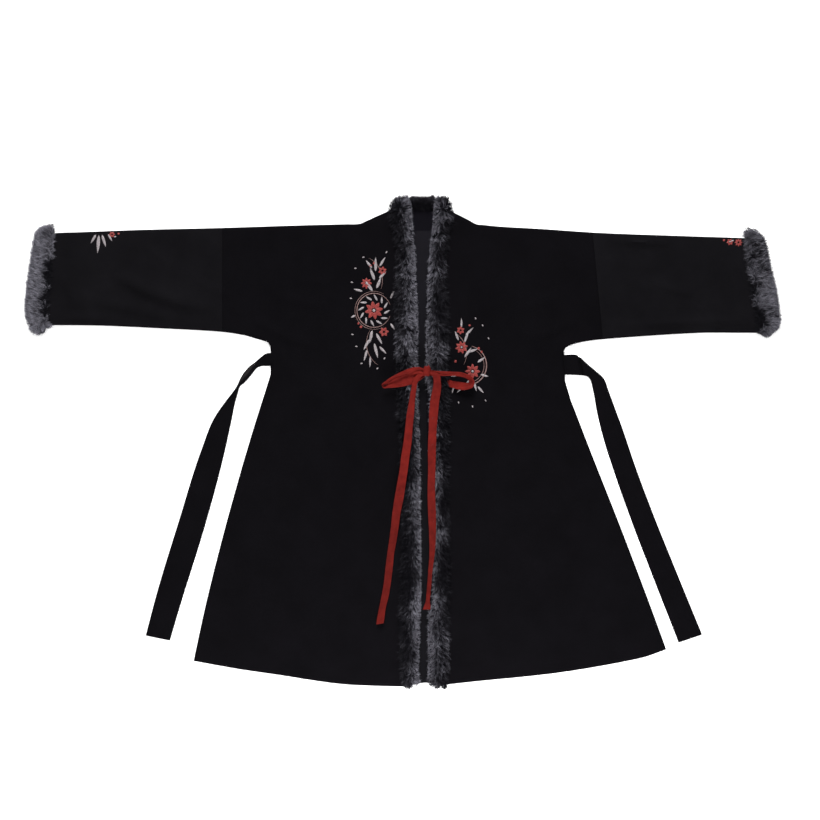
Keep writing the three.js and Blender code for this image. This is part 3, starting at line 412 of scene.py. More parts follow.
def straight(seam):
    """The x of a straight seam at any y."""
    low_x, low_y, high_x, high_y = seam
    return lambda y: low_x + (high_x - low_x) * (y - low_y) / (high_y - low_y)

def crease_lift(x, y):
    """How far the creases raise the cloth at a place."""
    lift = 0.0
    for ax, ay, bx, by, wide, high, bow in CREASES:
        dx, dy = bx - ax, by - ay
        length = math.hypot(dx, dy)
        along = ((x - ax) * dx + (y - ay) * dy) / length**2
        if not 0 < along < 1:
            continue
        arch = math.sin(math.pi * along)
        off = ((x - ax) * dy - (y - ay) * dx) / length - bow * arch
        side = CREASE_STEEP if off * dx > 0 else CREASE_GENTLE
        lift += high * arch**CREASE_ARCH * math.exp(-(abs(off) * side / wide) ** CREASE_CREST)
    return lift

def loose(x, y):
    """The slight unevenness of cloth that lies by its own weight."""
    broad = noise.noise(Vector((x * 9, y * 9, 2.3)))
    close = noise.noise(Vector((x * 31, y * 31, 7.7)))
    return LOOSE_BROAD * broad + LOOSE_CLOSE * close

def over_lining(x):
    """The fronts step up over the edge of the lining."""
    outside = max(LINING_EDGES[0] - x, x - LINING_EDGES[1], 0)
    share = 1 - min(max((outside - 0.002) / LINING_EASE, 0), 1)
    return LINING_STEP * share * share * (3 - 2 * share)

def groove(x, seam_x):
    """The line that a pressed-open seam sinks into the cloth."""
    return GROOVE_DEPTH * math.exp(-(((x - seam_x) / GROOVE_WIDTH) ** 2))

def stations(count, start, end):
    """Places along a line, drawn close together at pressed ends: (offset, share, ends)."""
    near = PRESSED[-1] if start else 0
    far = PRESSED[-1] if end else 0
    places = [(step, 0) for step in PRESSED[:-1]] if start else []
    places += [(near, k / count) for k in range(count + 1)]
    if end:
        places += [(near + far - step, 1) for step in reversed(PRESSED[:-1])]
    return [(offset, share, near + far) for offset, share in places]

def at(station, low, high):
    """The value of a station between low and high, whichever way they run."""
    offset, share, ends = station
    length = abs(high - low)
    way = 1 if high > low else -1
    return low + way * (offset + share * (length - ends))

def laid_grid(name, columns, rows, place, kept=None):
    """A flat grid whose every point is put by place(column, row), with unwanted cells cut off."""
    bpy.ops.object.select_all(action="DESELECT")
    bpy.ops.mesh.primitive_grid_add(x_subdivisions=columns, y_subdivisions=rows, size=1)
    piece = bpy.context.object
    piece.name = name
    piece.data.name = name

    def cell(point):
        return (point.x + 0.5) * columns, (point.y + 0.5) * rows

    if kept:
        bpy.ops.object.mode_set(mode="EDIT")
        bpy.ops.mesh.select_all(action="DESELECT")
        bpy.ops.mesh.select_mode(type="FACE")
        close_mesh()
        for polygon in piece.data.polygons:
            polygon.select = not kept(*cell(polygon.center))
        bpy.ops.object.mode_set(mode="EDIT")
        bpy.ops.mesh.delete(type="FACE")
        close_mesh()
    for vertex in piece.data.vertices:
        i, j = cell(vertex.co)
        vertex.co = place(round(i), round(j))
    return piece

def turn_over(piece):
    """Turn the faces of a piece to the other side."""
    open_mesh(piece)
    bpy.ops.mesh.flip_normals()
    close_mesh()

def thicken(piece, wall):
    """Give a single layer its cloth thickness, inwards, and shade it smooth but for its rims."""
    pick(piece)
    modifier = piece.modifiers.new("wall", "SOLIDIFY")
    modifier.thickness = wall
    modifier.offset = -1
    modifier.use_even_offset = False
    bpy.ops.object.modifier_apply(modifier=modifier.name)
    bpy.ops.object.shade_smooth_by_angle(angle=math.radians(50))
    return piece

FRONTS = [
    {
        "name": "front_left_panel", "node": "front_left", "side": -1,
        "top": reader(TOP_LEFT), "under": reader(UNDER_LEFT), "side_seam": reader(SIDE_LEFT),
        "edge": reader(FRONT_EDGE_LEFT), "seam": straight(SEAM_LEFT), "collar": (-0.361, 0.008),
        "pit": (-0.2625, 0.187), "corner": -0.437, "cut": (0.44, 0.975), "area": 0.329,
    },
    {
        "name": "front_right_panel", "node": "front_right", "side": 1,
        "top": reader(TOP_RIGHT), "under": reader(UNDER_RIGHT), "side_seam": reader(SIDE_RIGHT),
        "edge": reader(FRONT_EDGE_RIGHT), "seam": straight(SEAM_RIGHT), "collar": (0.3805, 0.072),
        "pit": (0.3205, 0.179), "corner": -0.411, "cut": (0.465, 0.970), "area": 0.309,
    },
]
hem_line = reader(HEM)

def pressed_outline(front):
    """A search tree of points along the pressed seams and the hem of a front."""
    pit_x, pit_y = front["pit"]
    outline = [(front["side_seam"](y), y) for y in np.arange(front["corner"], pit_y, 0.001)]
    outline += [(x, front["under"](x)) for x in np.linspace(front["seam"](0.21), pit_x, 150)]
    outline += [(x, front["top"](x)) for x in np.linspace(*front["collar"], 500)]
    outline += [(x, hem_line(x)) for x in np.linspace(front["side_seam"](-0.45), FRONT_MIDDLE_X, 450)]
    tree = KDTree(len(outline))
    for index, (x, y) in enumerate(outline):
        tree.insert((x, y, 0), index)
    tree.balance()
    return tree

def front_panel(front):
    """One front, drawn row by row between its edges."""
    pit_x, pit_y = front["pit"]
    edge, top, under = front["edge"], front["top"], front["under"]
    seam, side_seam = front["seam"], front["side_seam"]
    outline = pressed_outline(front)
    body = stations(round(abs(pit_x - FRONT_MIDDLE_X) / CLOTH_STEP), True, False)
    sleeve = stations(round(abs(pit_x - seam(0.3)) / CLOTH_STEP), True, False)[:-1]
    lower = stations(round(FRONT_LOWER_LENGTH / CLOTH_STEP), True, False)[:-1]
    chest = stations(round(FRONT_CHEST_LENGTH / CLOTH_STEP), True, True)

    def plan(i, j):
        column = body[max(i - len(sleeve), 0)]
        if j < len(lower):
            y = at(lower[j], front["corner"], pit_y)
            for _ in range(SOLVE_ROUNDS):
                x = at(column, side_seam(y), edge(y))
                y = at(lower[j], hem_line(x), pit_y)
            return x, y
        row = chest[j - len(lower)]
        y = at(row, pit_y, 0.43)
        for _ in range(SOLVE_ROUNDS):
            if i < len(sleeve):
                x = at(sleeve[i], seam(y), pit_x)
                y = at(row, under(x), top(x))
            else:
                x = at(column, pit_x, edge(y))
                y = at(row, pit_y, top(x))
        return x, y

    def place(i, j):
        x, y = plan(i, j)
        _, _, distance = outline.find((x, y, 0))
        share = min(distance / SEAM_ROUND, 1)
        crown = math.sqrt(1 - (1 - share) ** 2)
        calm = min(distance / SEAM_CALM, 1)
        roof = FRONT_LEVEL + over_lining(x) + (crease_lift(x, y) + loose(x, y)) * calm
        z = SEAM_LEVEL + (roof - SEAM_LEVEL) * crown
        if y > pit_y:
            z -= groove(x, seam(y))
        return (x, y, z)

    columns = len(sleeve) + len(body) - 1
    rows = len(lower) + len(chest) - 1

    def kept(i, j):
        return j > len(lower) or i > len(sleeve)

    piece = laid_grid(front["name"], columns, rows, place, kept)
    if front["side"] > 0:
        turn_over(piece)
    return thicken(piece, SHELL)

panels = []
for front in FRONTS:
    panel = front_panel(front)
    dress(panel, body_wool, "wool_cloth", front["node"])
    panels.append(panel)

# Sleeve extensions
# Each is one piece of a smoother, slightly greyer wool, folded lengthwise into a tube and
# sewn to the upper sleeve at its top end and to the fur cuff at its lower end.
SLEEVE_DARK = (0.0025, 0.0023, 0.0029, 1)
SLEEVE_LIGHT = (0.0042, 0.0039, 0.0048, 1)
SLEEVE_LENGTH = 0.32
SLEEVE_WIDTH = 0.19
SLEEVE_TOP = 0.0062
SLEEVE_ROUND = 0.0042
SLEEVE_CALM = 0.018
SLEEVE_TUCK = 0.0006
CUFF_TUCK = 0.004
sleeve_wool = wool("sleeve_wool", SLEEVE_DARK, SLEEVE_LIGHT, 1300, 0.0003, 0.004)

SLEEVES = [
    {
        "name": "sleeve_left_tube", "node": "sleeve_left", "side": -1, "cut": (0.41, 0.345),
        "top": reader(TOP_LEFT), "under": reader(UNDER_LEFT),
        "seam": straight(SEAM_LEFT), "cuff": straight(CUFF_SEAM_LEFT),
    },
    {
        "name": "sleeve_right_tube", "node": "sleeve_right", "side": 1, "cut": (0.42, 0.330),
        "top": reader(TOP_RIGHT), "under": reader(UNDER_RIGHT),
        "seam": straight(SEAM_RIGHT), "cuff": straight(CUFF_SEAM_RIGHT),
    },
]

def sleeve_tube(sleeve):
    """A tube that lies flat, round at its two fold lines."""
    side, seam, cuff = sleeve["side"], sleeve["seam"], sleeve["cuff"]
    under, top = sleeve["under"], sleeve["top"]
    along = stations(round(SLEEVE_LENGTH / CLOTH_STEP), True, False)
    across = stations(round(SLEEVE_WIDTH / CLOTH_STEP), True, True)
    half = len(across) - 1

    def place(i, j):
        upper = j <= half
        row = across[j if upper else 2 * half - j]
        y = 0.31
        for _ in range(SOLVE_ROUNDS):
            x = at(along[i], seam(y) - side * SLEEVE_TUCK, cuff(y) + side * CUFF_TUCK)
            y = at(row, under(x), top(x))
        near = max(min(y - under(x), top(x) - y), 0)
        share = min(near / SLEEVE_ROUND, 1)
        crown = math.sqrt(1 - (1 - share) ** 2)
        middle = SLEEVE_TOP / 2
        if not upper:
            return (x, y, middle * (1 - crown))
        lift = (crease_lift(x, y) + loose(x, y)) * min(near / SLEEVE_CALM, 1)
        return (x, y, middle + (SLEEVE_TOP - middle) * crown + lift - groove(x, seam(y)))

    piece = laid_grid(sleeve["name"], len(along) - 1, 2 * half, place)
    open_mesh(piece)
    bpy.ops.mesh.remove_doubles(threshold=0.00005)
    close_mesh()
    if side < 0:
        turn_over(piece)
    return thicken(piece, SHELL)

for sleeve in SLEEVES:
    tube = sleeve_tube(sleeve)
    dress(tube, sleeve_wool, "sleeve_cloth", sleeve["node"])
    panels.append(tube)

# Lining and collar facing
# Dark lining cloth with a soft sheen shows in the open front, and the back collar is faced
# with the body wool's darker side. The seam between them runs across the neck.
LINING_DARK = (0.0036, 0.0034, 0.0047, 1)
LINING_LIGHT = (0.0054, 0.0050, 0.0070, 1)
FACING_DARK = (0.0020, 0.0018, 0.0029, 1)
FACING_LIGHT = (0.0034, 0.0031, 0.0048, 1)
LINING_PRESS_X = 0.0385
LINING_GRID = (0.003, 0.006)
LINING_WALL = 0.0006
LINING_SWELL = 0.0003
LINING_TUCK = 0.005
LINING_TUCK_DROP = 0.0011
PRESS_HIGH = 0.00035
PRESS_WIDE = 0.0022
FACING_SWELL = 0.0002
lining_cloth = wool("lining_cloth", LINING_DARK, LINING_LIGHT, 700, 0.0002, 0.02)
facing_cloth = wool("facing_cloth", FACING_DARK, FACING_LIGHT, 900, 0.0004, 0.004)

def paint_shade_down(material, low, high, share):
    """Paint shade on a cloth towards the hem: this share of its tone at low, the whole of it at high."""
    tree = material.node_tree
    colour = tree.nodes["Principled BSDF"].inputs["Base Color"]
    whole = colour.links[0].from_socket
    split = tree.nodes.new("ShaderNodeSeparateXYZ")
    tree.links.new(object_place(tree), split.inputs["Vector"])
    fade = tree.nodes.new("ShaderNodeMapRange")
    set_inputs(fade, {"From Min": low, "From Max": high, "To Min": share})
    tree.links.new(split.outputs["Y"], fade.inputs["Value"])
    scaled = tree.nodes.new("ShaderNodeVectorMath")
    scaled.operation = "SCALE"
    tree.links.new(whole, scaled.inputs[0])
    tree.links.new(fade.outputs["Result"], scaled.inputs["Scale"])
    tree.links.new(scaled.outputs["Vector"], colour)

def inner_cloth(name, node, swell, tuck):
    """A thin sheet on the upper face of a flat solid, with a pressed line down its middle.
    The tuck is how far its upper end reaches in under the next piece."""
    low_box, high_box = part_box(node)
    columns = round((high_box.x - low_box.x) / LINING_GRID[0])
    rows = max(round((high_box.y - low_box.y) / LINING_GRID[1]), 4)

    def place(i, j):
        x = low_box.x + (high_box.x - low_box.x) * i / columns
        y = low_box.y + (high_box.y + tuck - low_box.y) * j / rows
        press = PRESS_HIGH * math.exp(-(((x - LINING_PRESS_X) / PRESS_WIDE) ** 2))
        under = LINING_TUCK_DROP if y > high_box.y - 0.001 and tuck else 0
        return (x, y, high_box.z + press - under + swell * noise.noise(Vector((x * 40, y * 16, 1.1))))

    return thicken(laid_grid(name, columns, rows, place), LINING_WALL)

# Painted shade: the lining darkens towards its lower end, down the narrow gap between the fur strips.
paint_shade_down(lining_cloth, 0.150, 0.300, 0.52)
lining = inner_cloth("lining_strip", "lining_back", LINING_SWELL, LINING_TUCK)
dress(lining, lining_cloth, "lining", "lining_back")
facing = inner_cloth("collar_facing", "neck_facing", FACING_SWELL, 0)
dress(facing, facing_cloth, "facing", "neck_facing")

# Belt straps
# Two straps of doubled body wool, sewn in the side seams at the waist. The left one is
# pinched and turned on its way down, the right one is folded over beside its seam.
# Each row gives the two edges of a band in millimetres: x, y, z of one and of the other.
MM = 0.001
STRAP_WALL = 0.0022
STRAP_ACROSS = 12
# The lighter wool for the turned under side of the left strap is a painted highlight.
UNDER_SIDE_HIGHLIGHT_DARK = (0.0058, 0.0050, 0.0054, 1)
UNDER_SIDE_HIGHLIGHT_LIGHT = (0.0110, 0.0095, 0.0101, 1)
TURNED_X = (-0.330, -0.290)
STRAP_LEFT = [
    (-256, 151, 1.6, -256, 176, 5.4),
    (-270, 151, 1.6, -270, 176.5, 7.6),
    (-281, 150.5, 2.6, -284, 167.5, 7.6),
    (-290, 147, 8.0, -294, 159, 5.4),
    (-299, 136, 14.0, -306, 150, 2.6),
    (-306.5, 126.5, 15.6, -316, 139, 2.2),
    (-316.5, 116.5, 12.4, -324, 126, 3.2),
    (-325, 109, 7.6, -331, 110.5, 5.0),
    (-329, 97, 3.8, -339.5, 98, 6.4),
    (-334, 80, 2.0, -353, 81, 4.4),
    (-341, 46, 1.4, -376.5, 47, 1.6),
    (-355.5, -21, 1.4, -401.5, -15, 1.4),
    (-395.5, -171, 1.4, -447.5, -160, 1.4),
    (-441.5, -319, 1.4, -492.5, -308, 1.4),
    (-465, -398, 1.4, -513.5, -388, 1.4),
]
STRAP_RIGHT = [
    (318, 133.5, 2.2, 318, 173, 2.0),
    (330, 133.5, 2.2, 330, 173.5, 2.0),
    (342, 133, 3.6, 337, 174, 4.2),
    (351, 132.5, 7.0, 344, 173.5, 8.0),
    (357, 132.2, 6.6, 348.5, 172.5, 7.6),
    (360.5, 132, 3.4, 350.5, 171, 4.2),
]
STRAP_RIGHT_FALL = [
    (352, 132.5, 1.5, 343, 172, 1.5),
    (359.6, 132, 1.5, 349.5, 170, 1.5),
    (363.6, 131.4, 1.5, 354.0, 168.5, 1.5),
    (366.4, 130.8, 6.8, 357.2, 166, 7.8),
    (369, 129.8, 7.0, 362.5, 161, 8.2),
    (373, 126.4, 5.6, 374, 151, 6.6),
    (376.5, 120, 4.4, 389, 138.5, 5.2),
    (379.5, 108, 3.0, 402.5, 125.5, 4.2),
    (383, 91, 2.0, 411, 104, 3.0),
    (388, 62, 1.4, 424, 69, 1.5),
    (397, 23, 1.4, 437, 34, 1.4),
    (425, -67, 1.4, 467, -54, 1.4),
    (457, -157, 1.4, 500, -142, 1.4),
    (503, -277, 1.4, 547, -259, 1.4),
    (552, -402, 1.4, 599, -386, 1.4),
]
# The ribbon's knot: its middle, its half sizes and its peak. Bands are squeezed near it.
KNOT_CENTRE = (0.0482, 0.1400, 0.0218)
KNOT_HALF = (0.0082, 0.0100, 0.0050)
KNOT_PEAK = (0.0534, 0.1548, 0.0235)
KNOT_REACH = 0.016
KNOT_PLEAT = 0.075
KNOT_PINCH = 0.22

def unit_rows(vectors):
    """The same vectors, each of length one."""
    return vectors / (np.linalg.norm(vectors, axis=-1, keepdims=True) + 1e-12)

def ripple(place):
    """The fine wrinkling of a band at a place."""
    return noise.noise(place * 90) + 0.6 * noise.noise(place * 260)

def flowing(rows, step):
    """Rows of numbers made denser along a smooth curve through them."""
    rows = np.array(rows, dtype=float)
    edges = rows.reshape(len(rows), 2, 3)
    gaps = np.linalg.norm(np.diff(edges, axis=0), axis=2).max(axis=1)
    place = np.concatenate([[0], np.cumsum(gaps)])
    slopes = np.gradient(rows, place, axis=0)
    dense = []
    for i, gap in enumerate(gaps):
        count = max(2, math.ceil(gap / step))
        for t in np.arange(count) / count:
            ease = t * t * (3 - 2 * t)
            rise = (t - 2 * t * t + t**3) * gap * slopes[i] + (t**3 - t * t) * gap * slopes[i + 1]
            dense.append(rows[i] * (1 - ease) + rows[i + 1] * ease + rise)
    dense.append(rows[-1])
    return np.array(dense)

def band(name, rows, wall, step, across, crinkle, trim=0.0, pleat=0.0):
    """A closed flat band of cloth between two edges, with rounded edges and slight wrinkles."""
    rows = flowing(np.array(rows) * MM, step)
    share = np.linspace(0, 1, across + 1)
    first = rows[:, None, :3] * (1 - trim) + rows[:, None, 3:] * trim
    second = rows[:, None, 3:] * (1 - trim) + rows[:, None, :3] * trim
    middle = first + (second - first) * share[None, :, None]
    along = np.gradient(middle, axis=0)
    normal = unit_rows(np.cross(along, second - first + 0 * middle))
    rounded = 1 - np.abs(2 * share - 1) ** 4
    wave = np.array([[ripple(Vector(point)) for point in row] for row in middle])
    way = np.array([noise.noise(Vector(point) * 40) for point in middle[:, 0]])[:, None]
    fold = np.sin(math.tau * share[None, :] * 1.3 + 4 * way) * rounded
    tight = 1 + 1.4 * np.exp(-((middle[..., 0] - KNOT_CENTRE[0]) / KNOT_REACH) ** 2)
    middle = middle + normal * (wave * crinkle + fold * pleat * tight)[..., None]
    half = wall / 2 * (0.3 + 0.7 * rounded)[None, :, None]
    upper, lower = middle + normal * half, middle - normal * half
    ring = np.concatenate([upper, lower[:, ::-1]], axis=1)
    ring[..., 2] = np.maximum(ring[..., 2], 0)
    count, width = ring.shape[:2]
    faces = []
    for i in range(count - 1):
        for j in range(width):
            k = (j + 1) % width
            faces.append((i * width + j, i * width + k, (i + 1) * width + k, (i + 1) * width + j))
    end = (count - 1) * width
    for j in range(across):
        faces.append((j + 1, j, width - 1 - j, width - 2 - j))
        faces.append((end + j, end + j + 1, end + width - 2 - j, end + width - 1 - j))
    piece = outward_piece(name, ring.reshape(-1, 3).tolist(), faces)
    bpy.ops.object.shade_smooth_by_angle(angle=math.radians(60))
    return piece

strap_left = band("belt_strap_left", STRAP_LEFT, STRAP_WALL, 0.004, STRAP_ACROSS, 0.0005)
dress(strap_left, body_wool, "wool_cloth", "strap_left")
# Where the strap is turned, its smoother under side faces up; its up-facing faces there get a lighter wool,
# a painted highlight where the turned strap takes the light.
under_side_highlight = wool("strap_under_side_highlight", UNDER_SIDE_HIGHLIGHT_DARK, UNDER_SIDE_HIGHLIGHT_LIGHT, 900, 0.0004, 0.02)
strap_left.data.materials.append(under_side_highlight)
for face in strap_left.data.polygons:
    strip = face.index % (2 * STRAP_ACROSS + 2)
    share = (strip if strip < STRAP_ACROSS else 2 * STRAP_ACROSS - strip) / STRAP_ACROSS
    middle = (2 * face.center.x - sum(TURNED_X)) / (TURNED_X[1] - TURNED_X[0])
    if abs(middle) < 1 and 0.40 + 0.35 * middle**2 < share < 0.95 and face.normal.z > 0.05:
        face.material_index = 1
strap_right = band("belt_strap_right", STRAP_RIGHT, STRAP_WALL, 0.005, 10, 0.0004)
strap_fall = band("belt_strap_right_fall", STRAP_RIGHT_FALL, STRAP_WALL, 0.005, 10, 0.0005)
pick(strap_right)
strap_fall.select_set(True)
bpy.ops.object.join()
dress(strap_right, body_wool, "wool_cloth", "strap_right")

# Red ribbon tie
# A woven red ribbon, sewn as a flat tube, tied in a bow over the fur at chest height:
# a knot, a pressed loop to the left, an open loop to the right and two hanging tails.
RED_DARK = (0.066, 0.0038, 0.0029, 1)
RED_LIGHT = (0.113, 0.0074, 0.0053, 1)
RIBBON_WALL = 0.0013
RIBBON_STEP = 0.0025
RIBBON_ACROSS = 12
RIBBON_CRINKLE = 0.0006
LOOP_LEFT = [
    (46, 144, 22.0, 46, 131, 20.5),
    (34, 148, 24.4, 33, 134, 21.5),
    (22, 148, 25.0, 21, 134, 21.5),
    (7, 143, 25.0, 8, 131.5, 21.3),
    (-8, 136, 24.4, -6, 126, 21.0),
    (-23, 128, 23.2, -20, 119.5, 20.6),
    (-34, 120.5, 21.8, -31, 114.5, 20.3),
    (-41.5, 113, 20.4, -38.5, 111.5, 19.8),
    (-39, 107.5, 19.0, -35, 110.5, 19.2),
    (-26, 107, 18.4, -24, 119, 19.4),
    (-12, 108, 18.2, -10, 127.5, 19.6),
    (4, 110.5, 18.2, 6, 135, 19.8),
    (20, 114.5, 18.6, 21, 138, 19.6),
    (33, 121, 19.0, 34, 139, 19.8),
    (46, 131, 19.5, 46, 141, 19.8),
]
LOOP_RIGHT = [
    (50, 145, 21.5, 50, 132, 20.5),
    (64, 141, 22.6, 64, 130.5, 20.0),
    (78, 140, 23.4, 77, 131, 19.2),
    (91, 139.5, 23.2, 89, 131, 18.0),
    (104, 139, 22.4, 102, 131, 16.0),
    (118, 137.5, 21.0, 115, 130, 13.6),
    (131, 133.5, 19.6, 126, 126.5, 11.6),
    (140, 126.5, 18.6, 131.5, 122.5, 10.6),
    (143.5, 118, 18.0, 132.5, 119.5, 9.6),
    (140.5, 109, 17.5, 130.5, 117.5, 9.4),
    (130, 104, 16.6, 124.5, 117.5, 10.2),
    (117, 103, 15.8, 113.5, 119, 11.2),
    (104, 106, 13.4, 101, 121, 11.2),
    (92, 110, 8.8, 90, 124, 8.6),
    (80, 117, 8.4, 79, 128, 8.4),
    (67, 126, 11.0, 67, 133, 11.0),
    (53, 133, 16.0, 53, 139, 16.0),
]
TAIL_LEFT = [
    (38, 140, 21.5, 45, 132, 22.0),
    (26, 131, 22.6, 38, 128, 23.0),
    (19.5, 118, 21.8, 31, 119, 22.4),
    (16.5, 104, 20.2, 28.5, 105, 20.8),
    (12.5, 80, 18.8, 25.5, 81, 19.2),
    (7.5, 54, 18.4, 24, 56, 18.6),
    (4.5, 26, 18.4, 21, 27, 18.6),
    (1, -2, 18.2, 19, -1, 18.4),
    (-3.5, -30, 18.0, 15, -28, 18.4),
    (-7, -58, 17.0, 11.5, -56, 18.0),
    (-12, -86, 15.0, 7.5, -83, 17.2),
    (-17, -114, 11.8, 3.5, -111, 15.6),
    (-21, -142, 9.4, -2.5, -139, 12.8),
    (-24, -170, 8.2, -6.5, -168, 10.4),
    (-27.5, -198, 7.9, -11, -197, 8.6),
    (-31.5, -226, 7.8, -16, -224, 8.0),
    (-35, -254, 7.8, -18.5, -251, 7.8),
    (-38, -282, 7.8, -22, -279, 7.8),
    (-43, -310, 7.8, -26.5, -307, 8.2),
    (-49, -340, 8.6, -33, -334, 9.6),
    (-52.5, -360, 10.4, -36, -357, 11.2),
    (-53, -365, 11.0, -37, -362, 11.6),
]
TAIL_RIGHT = [
    (53, 136, 22.0, 62, 140, 22.0),
    (60, 130, 23.0, 74, 133, 22.6),
    (62, 120, 22.4, 76, 121, 22.4),
    (61, 110, 21.0, 77, 110, 21.0),
    (58.5, 98, 19.6, 76, 98, 19.8),
    (55, 80, 18.6, 73, 80, 18.8),
    (53, 54, 18.4, 70.5, 54, 18.4),
    (52.5, 26, 18.4, 68, 26, 18.4),
    (51, -2, 18.4, 67, -2, 18.4),
    (51, -58, 18.4, 65.5, -58, 18.4),
    (50, -100, 18.4, 65, -100, 18.4),
    (51, -142, 18.4, 66.5, -142, 18.4),
    (53, -184, 18.2, 66.5, -184, 18.6),
    (53.5, -226, 17.2, 64, -226, 20.0),
    (51.5, -254, 16.4, 60, -254, 21.4),
    (49.5, -282, 16.0, 57.5, -282, 21.8),
    (47.8, -304, 16.4, 55.5, -304, 21.2),
    (45.8, -320, 17.6, 54.5, -320, 20.2),
    (42.5, -328, 18.6, 56, -327, 19.6),
    (40.5, -334, 19.0, 55.5, -334, 19.4),
]

def ribbon_cloth():
    """Matt red ribbon: fine cross ribs, slight variation of tone."""
    material, tree, shader = new_material("red_ribbon", 0.85, 0.06)
    place = object_place(tree)
    clouds = noise_node(tree, place, 60, 5)
    tone = ramp_node(tree, clouds.outputs["Fac"], [(0.3, RED_DARK), (0.7, RED_LIGHT)])
    weave = noise_node(tree, place, 1400, 3)
    bump = bump_node(tree, weave.outputs["Fac"], 0.35, 0.0004)
    wrinkle = bump_node(tree, noise_node(tree, place, 150, 3).outputs["Fac"], 0.35, 0.0015, bump)
    paint(tree, shader, tone, wrinkle)
    return material

red_ribbon = ribbon_cloth()
# Painted shade: the lower lengths of both tails are darkened towards the hem.
paint_shade_down(red_ribbon, -0.20, -0.02, 0.72)
# Each ribbon: piece, solid, rows, how much its edges are trimmed, how deep its pleats are,
# and the size of its cloth laid flat.
RIBBONS = [
    ("bow_loop_left", "tie_loop_left", LOOP_LEFT, 0.0, 0.0010, (0.0130, 0.186)),
    ("bow_loop_right", "tie_loop_right", LOOP_RIGHT, 0.0, 0.0007, (0.0118, 0.194)),
    ("bow_tail_left", "tie_tail_left", TAIL_LEFT, 0.05, 0.0002, (0.0155, 0.512)),
    ("bow_tail_right", "tie_tail_right", TAIL_RIGHT, 0.0, 0.0002, (0.0140, 0.477)),
]
for name, node, rows, trim, pleat, cut in RIBBONS:
    piece = band(name, rows, RIBBON_WALL, RIBBON_STEP, RIBBON_ACROSS, RIBBON_CRINKLE, trim, pleat)
    dress(piece, red_ribbon, "red_ribbon", node)

bpy.ops.object.select_all(action="DESELECT")
bpy.ops.mesh.primitive_uv_sphere_add(segments=48, ring_count=28, radius=1, location=(0, 0, 0))
knot = bpy.context.object
knot.name = "bow_knot"
knot.data.name = "bow_knot"
for vertex in knot.data.vertices:
    x, y, z = vertex.co
    boxy = 1 / max((abs(x) ** 3 + abs(y) ** 3 + abs(z) ** 3) ** (1 / 3), 0.01)
    pleat = 1 + KNOT_PLEAT * math.sin(6.5 * (x * 0.9 + y * 0.45) + 1.2) * (1 - abs(z) * 0.25)
    pinch = 1 - KNOT_PINCH * math.exp(-((y + 0.1) / 0.35) ** 2) * abs(x)
    size = (1 + 0.5 * (boxy - 1)) * pleat
    vertex.co = (
        KNOT_CENTRE[0] + x * size * KNOT_HALF[0] * pinch,
        KNOT_CENTRE[1] + y * size * KNOT_HALF[1],
        KNOT_CENTRE[2] + z * size * KNOT_HALF[2],
    )
    near_peak = math.exp(-(((x - 0.45) / 0.26) ** 2)) * max(y, 0) ** 4
    vertex.co.x += (KNOT_PEAK[0] - vertex.co.x) * 0.6 * near_peak
    vertex.co.y += (KNOT_PEAK[1] - vertex.co.y) * 0.9 * near_peak
pick(knot)
bpy.ops.object.shade_smooth()
dress(knot, red_ribbon, "red_ribbon", "tie_knot")

# Fur edging and cuffs
# Long soft fur in strips: a dark close underwool with grey guard hairs in pointed locks,
# brightest along the opening, where the grey of the parted pile carries a painted highlight,
# and dark with pale wisps at the outer edges.
FUR_ROOT = (0.0019, 0.0018, 0.0025, 1)
UNDERWOOL_LIGHT = (0.0034, 0.0032, 0.0044, 1)
FUR_SHAFT = (0.060, 0.058, 0.070, 1)
FUR_TIP = (0.285, 0.277, 0.325, 1)
HAIR_WIDTH = 0.00048
HAIR_POINTS = 7
HAIR_STRAY = 0.0009
TIP_AT = 0.92
HEM_UNEVEN = 0.0010
ROOT_DEPTH = 0.0042
HAIR_ALONG = [0, 0, 0.36, 0.36, 0.70, 0.70, 1.0]
random = np.random.default_rng(7)

def fur_hide():
    """The underwool between the hairs, nearly black."""
    material, tree, shader = new_material("fur_underwool", 0.95, 0.02)
    tufts = noise_node(tree, object_place(tree), 260, 6)
    tone = ramp_node(tree, tufts.outputs["Fac"], [(0.35, FUR_ROOT), (0.75, UNDERWOOL_LIGHT)])
    paint(tree, shader, tone, bump_node(tree, tufts.outputs["Fac"], 0.9, 0.003))
    return material

def fur_hairs():
    """Guard hairs: dark at the root and pale at the tip, with a tone of its own for each."""
    material, tree, shader = new_material("fur_hairs", 0.7, 0.015)
    along = tree.nodes.new("ShaderNodeAttribute")
    along.attribute_name = "along"
    tone = tree.nodes.new("ShaderNodeAttribute")
    tone.attribute_name = "tone"
    shaft = ramp_node(tree, along.outputs["Fac"], [(0.0, FUR_ROOT), (0.36, FUR_SHAFT), (0.85, FUR_TIP)])
    dull = tree.nodes.new("ShaderNodeMix")
    dull.data_type = "RGBA"
    dull.inputs["A"].default_value = FUR_ROOT
    tree.links.new(tone.outputs["Fac"], dull.inputs["Factor"])
    tree.links.new(shaft.outputs["Color"], dull.inputs["B"])
    tree.links.new(dull.outputs["Result"], shader.inputs["Base Color"])
    return material

underwool = fur_hide()
hairs = fur_hairs()

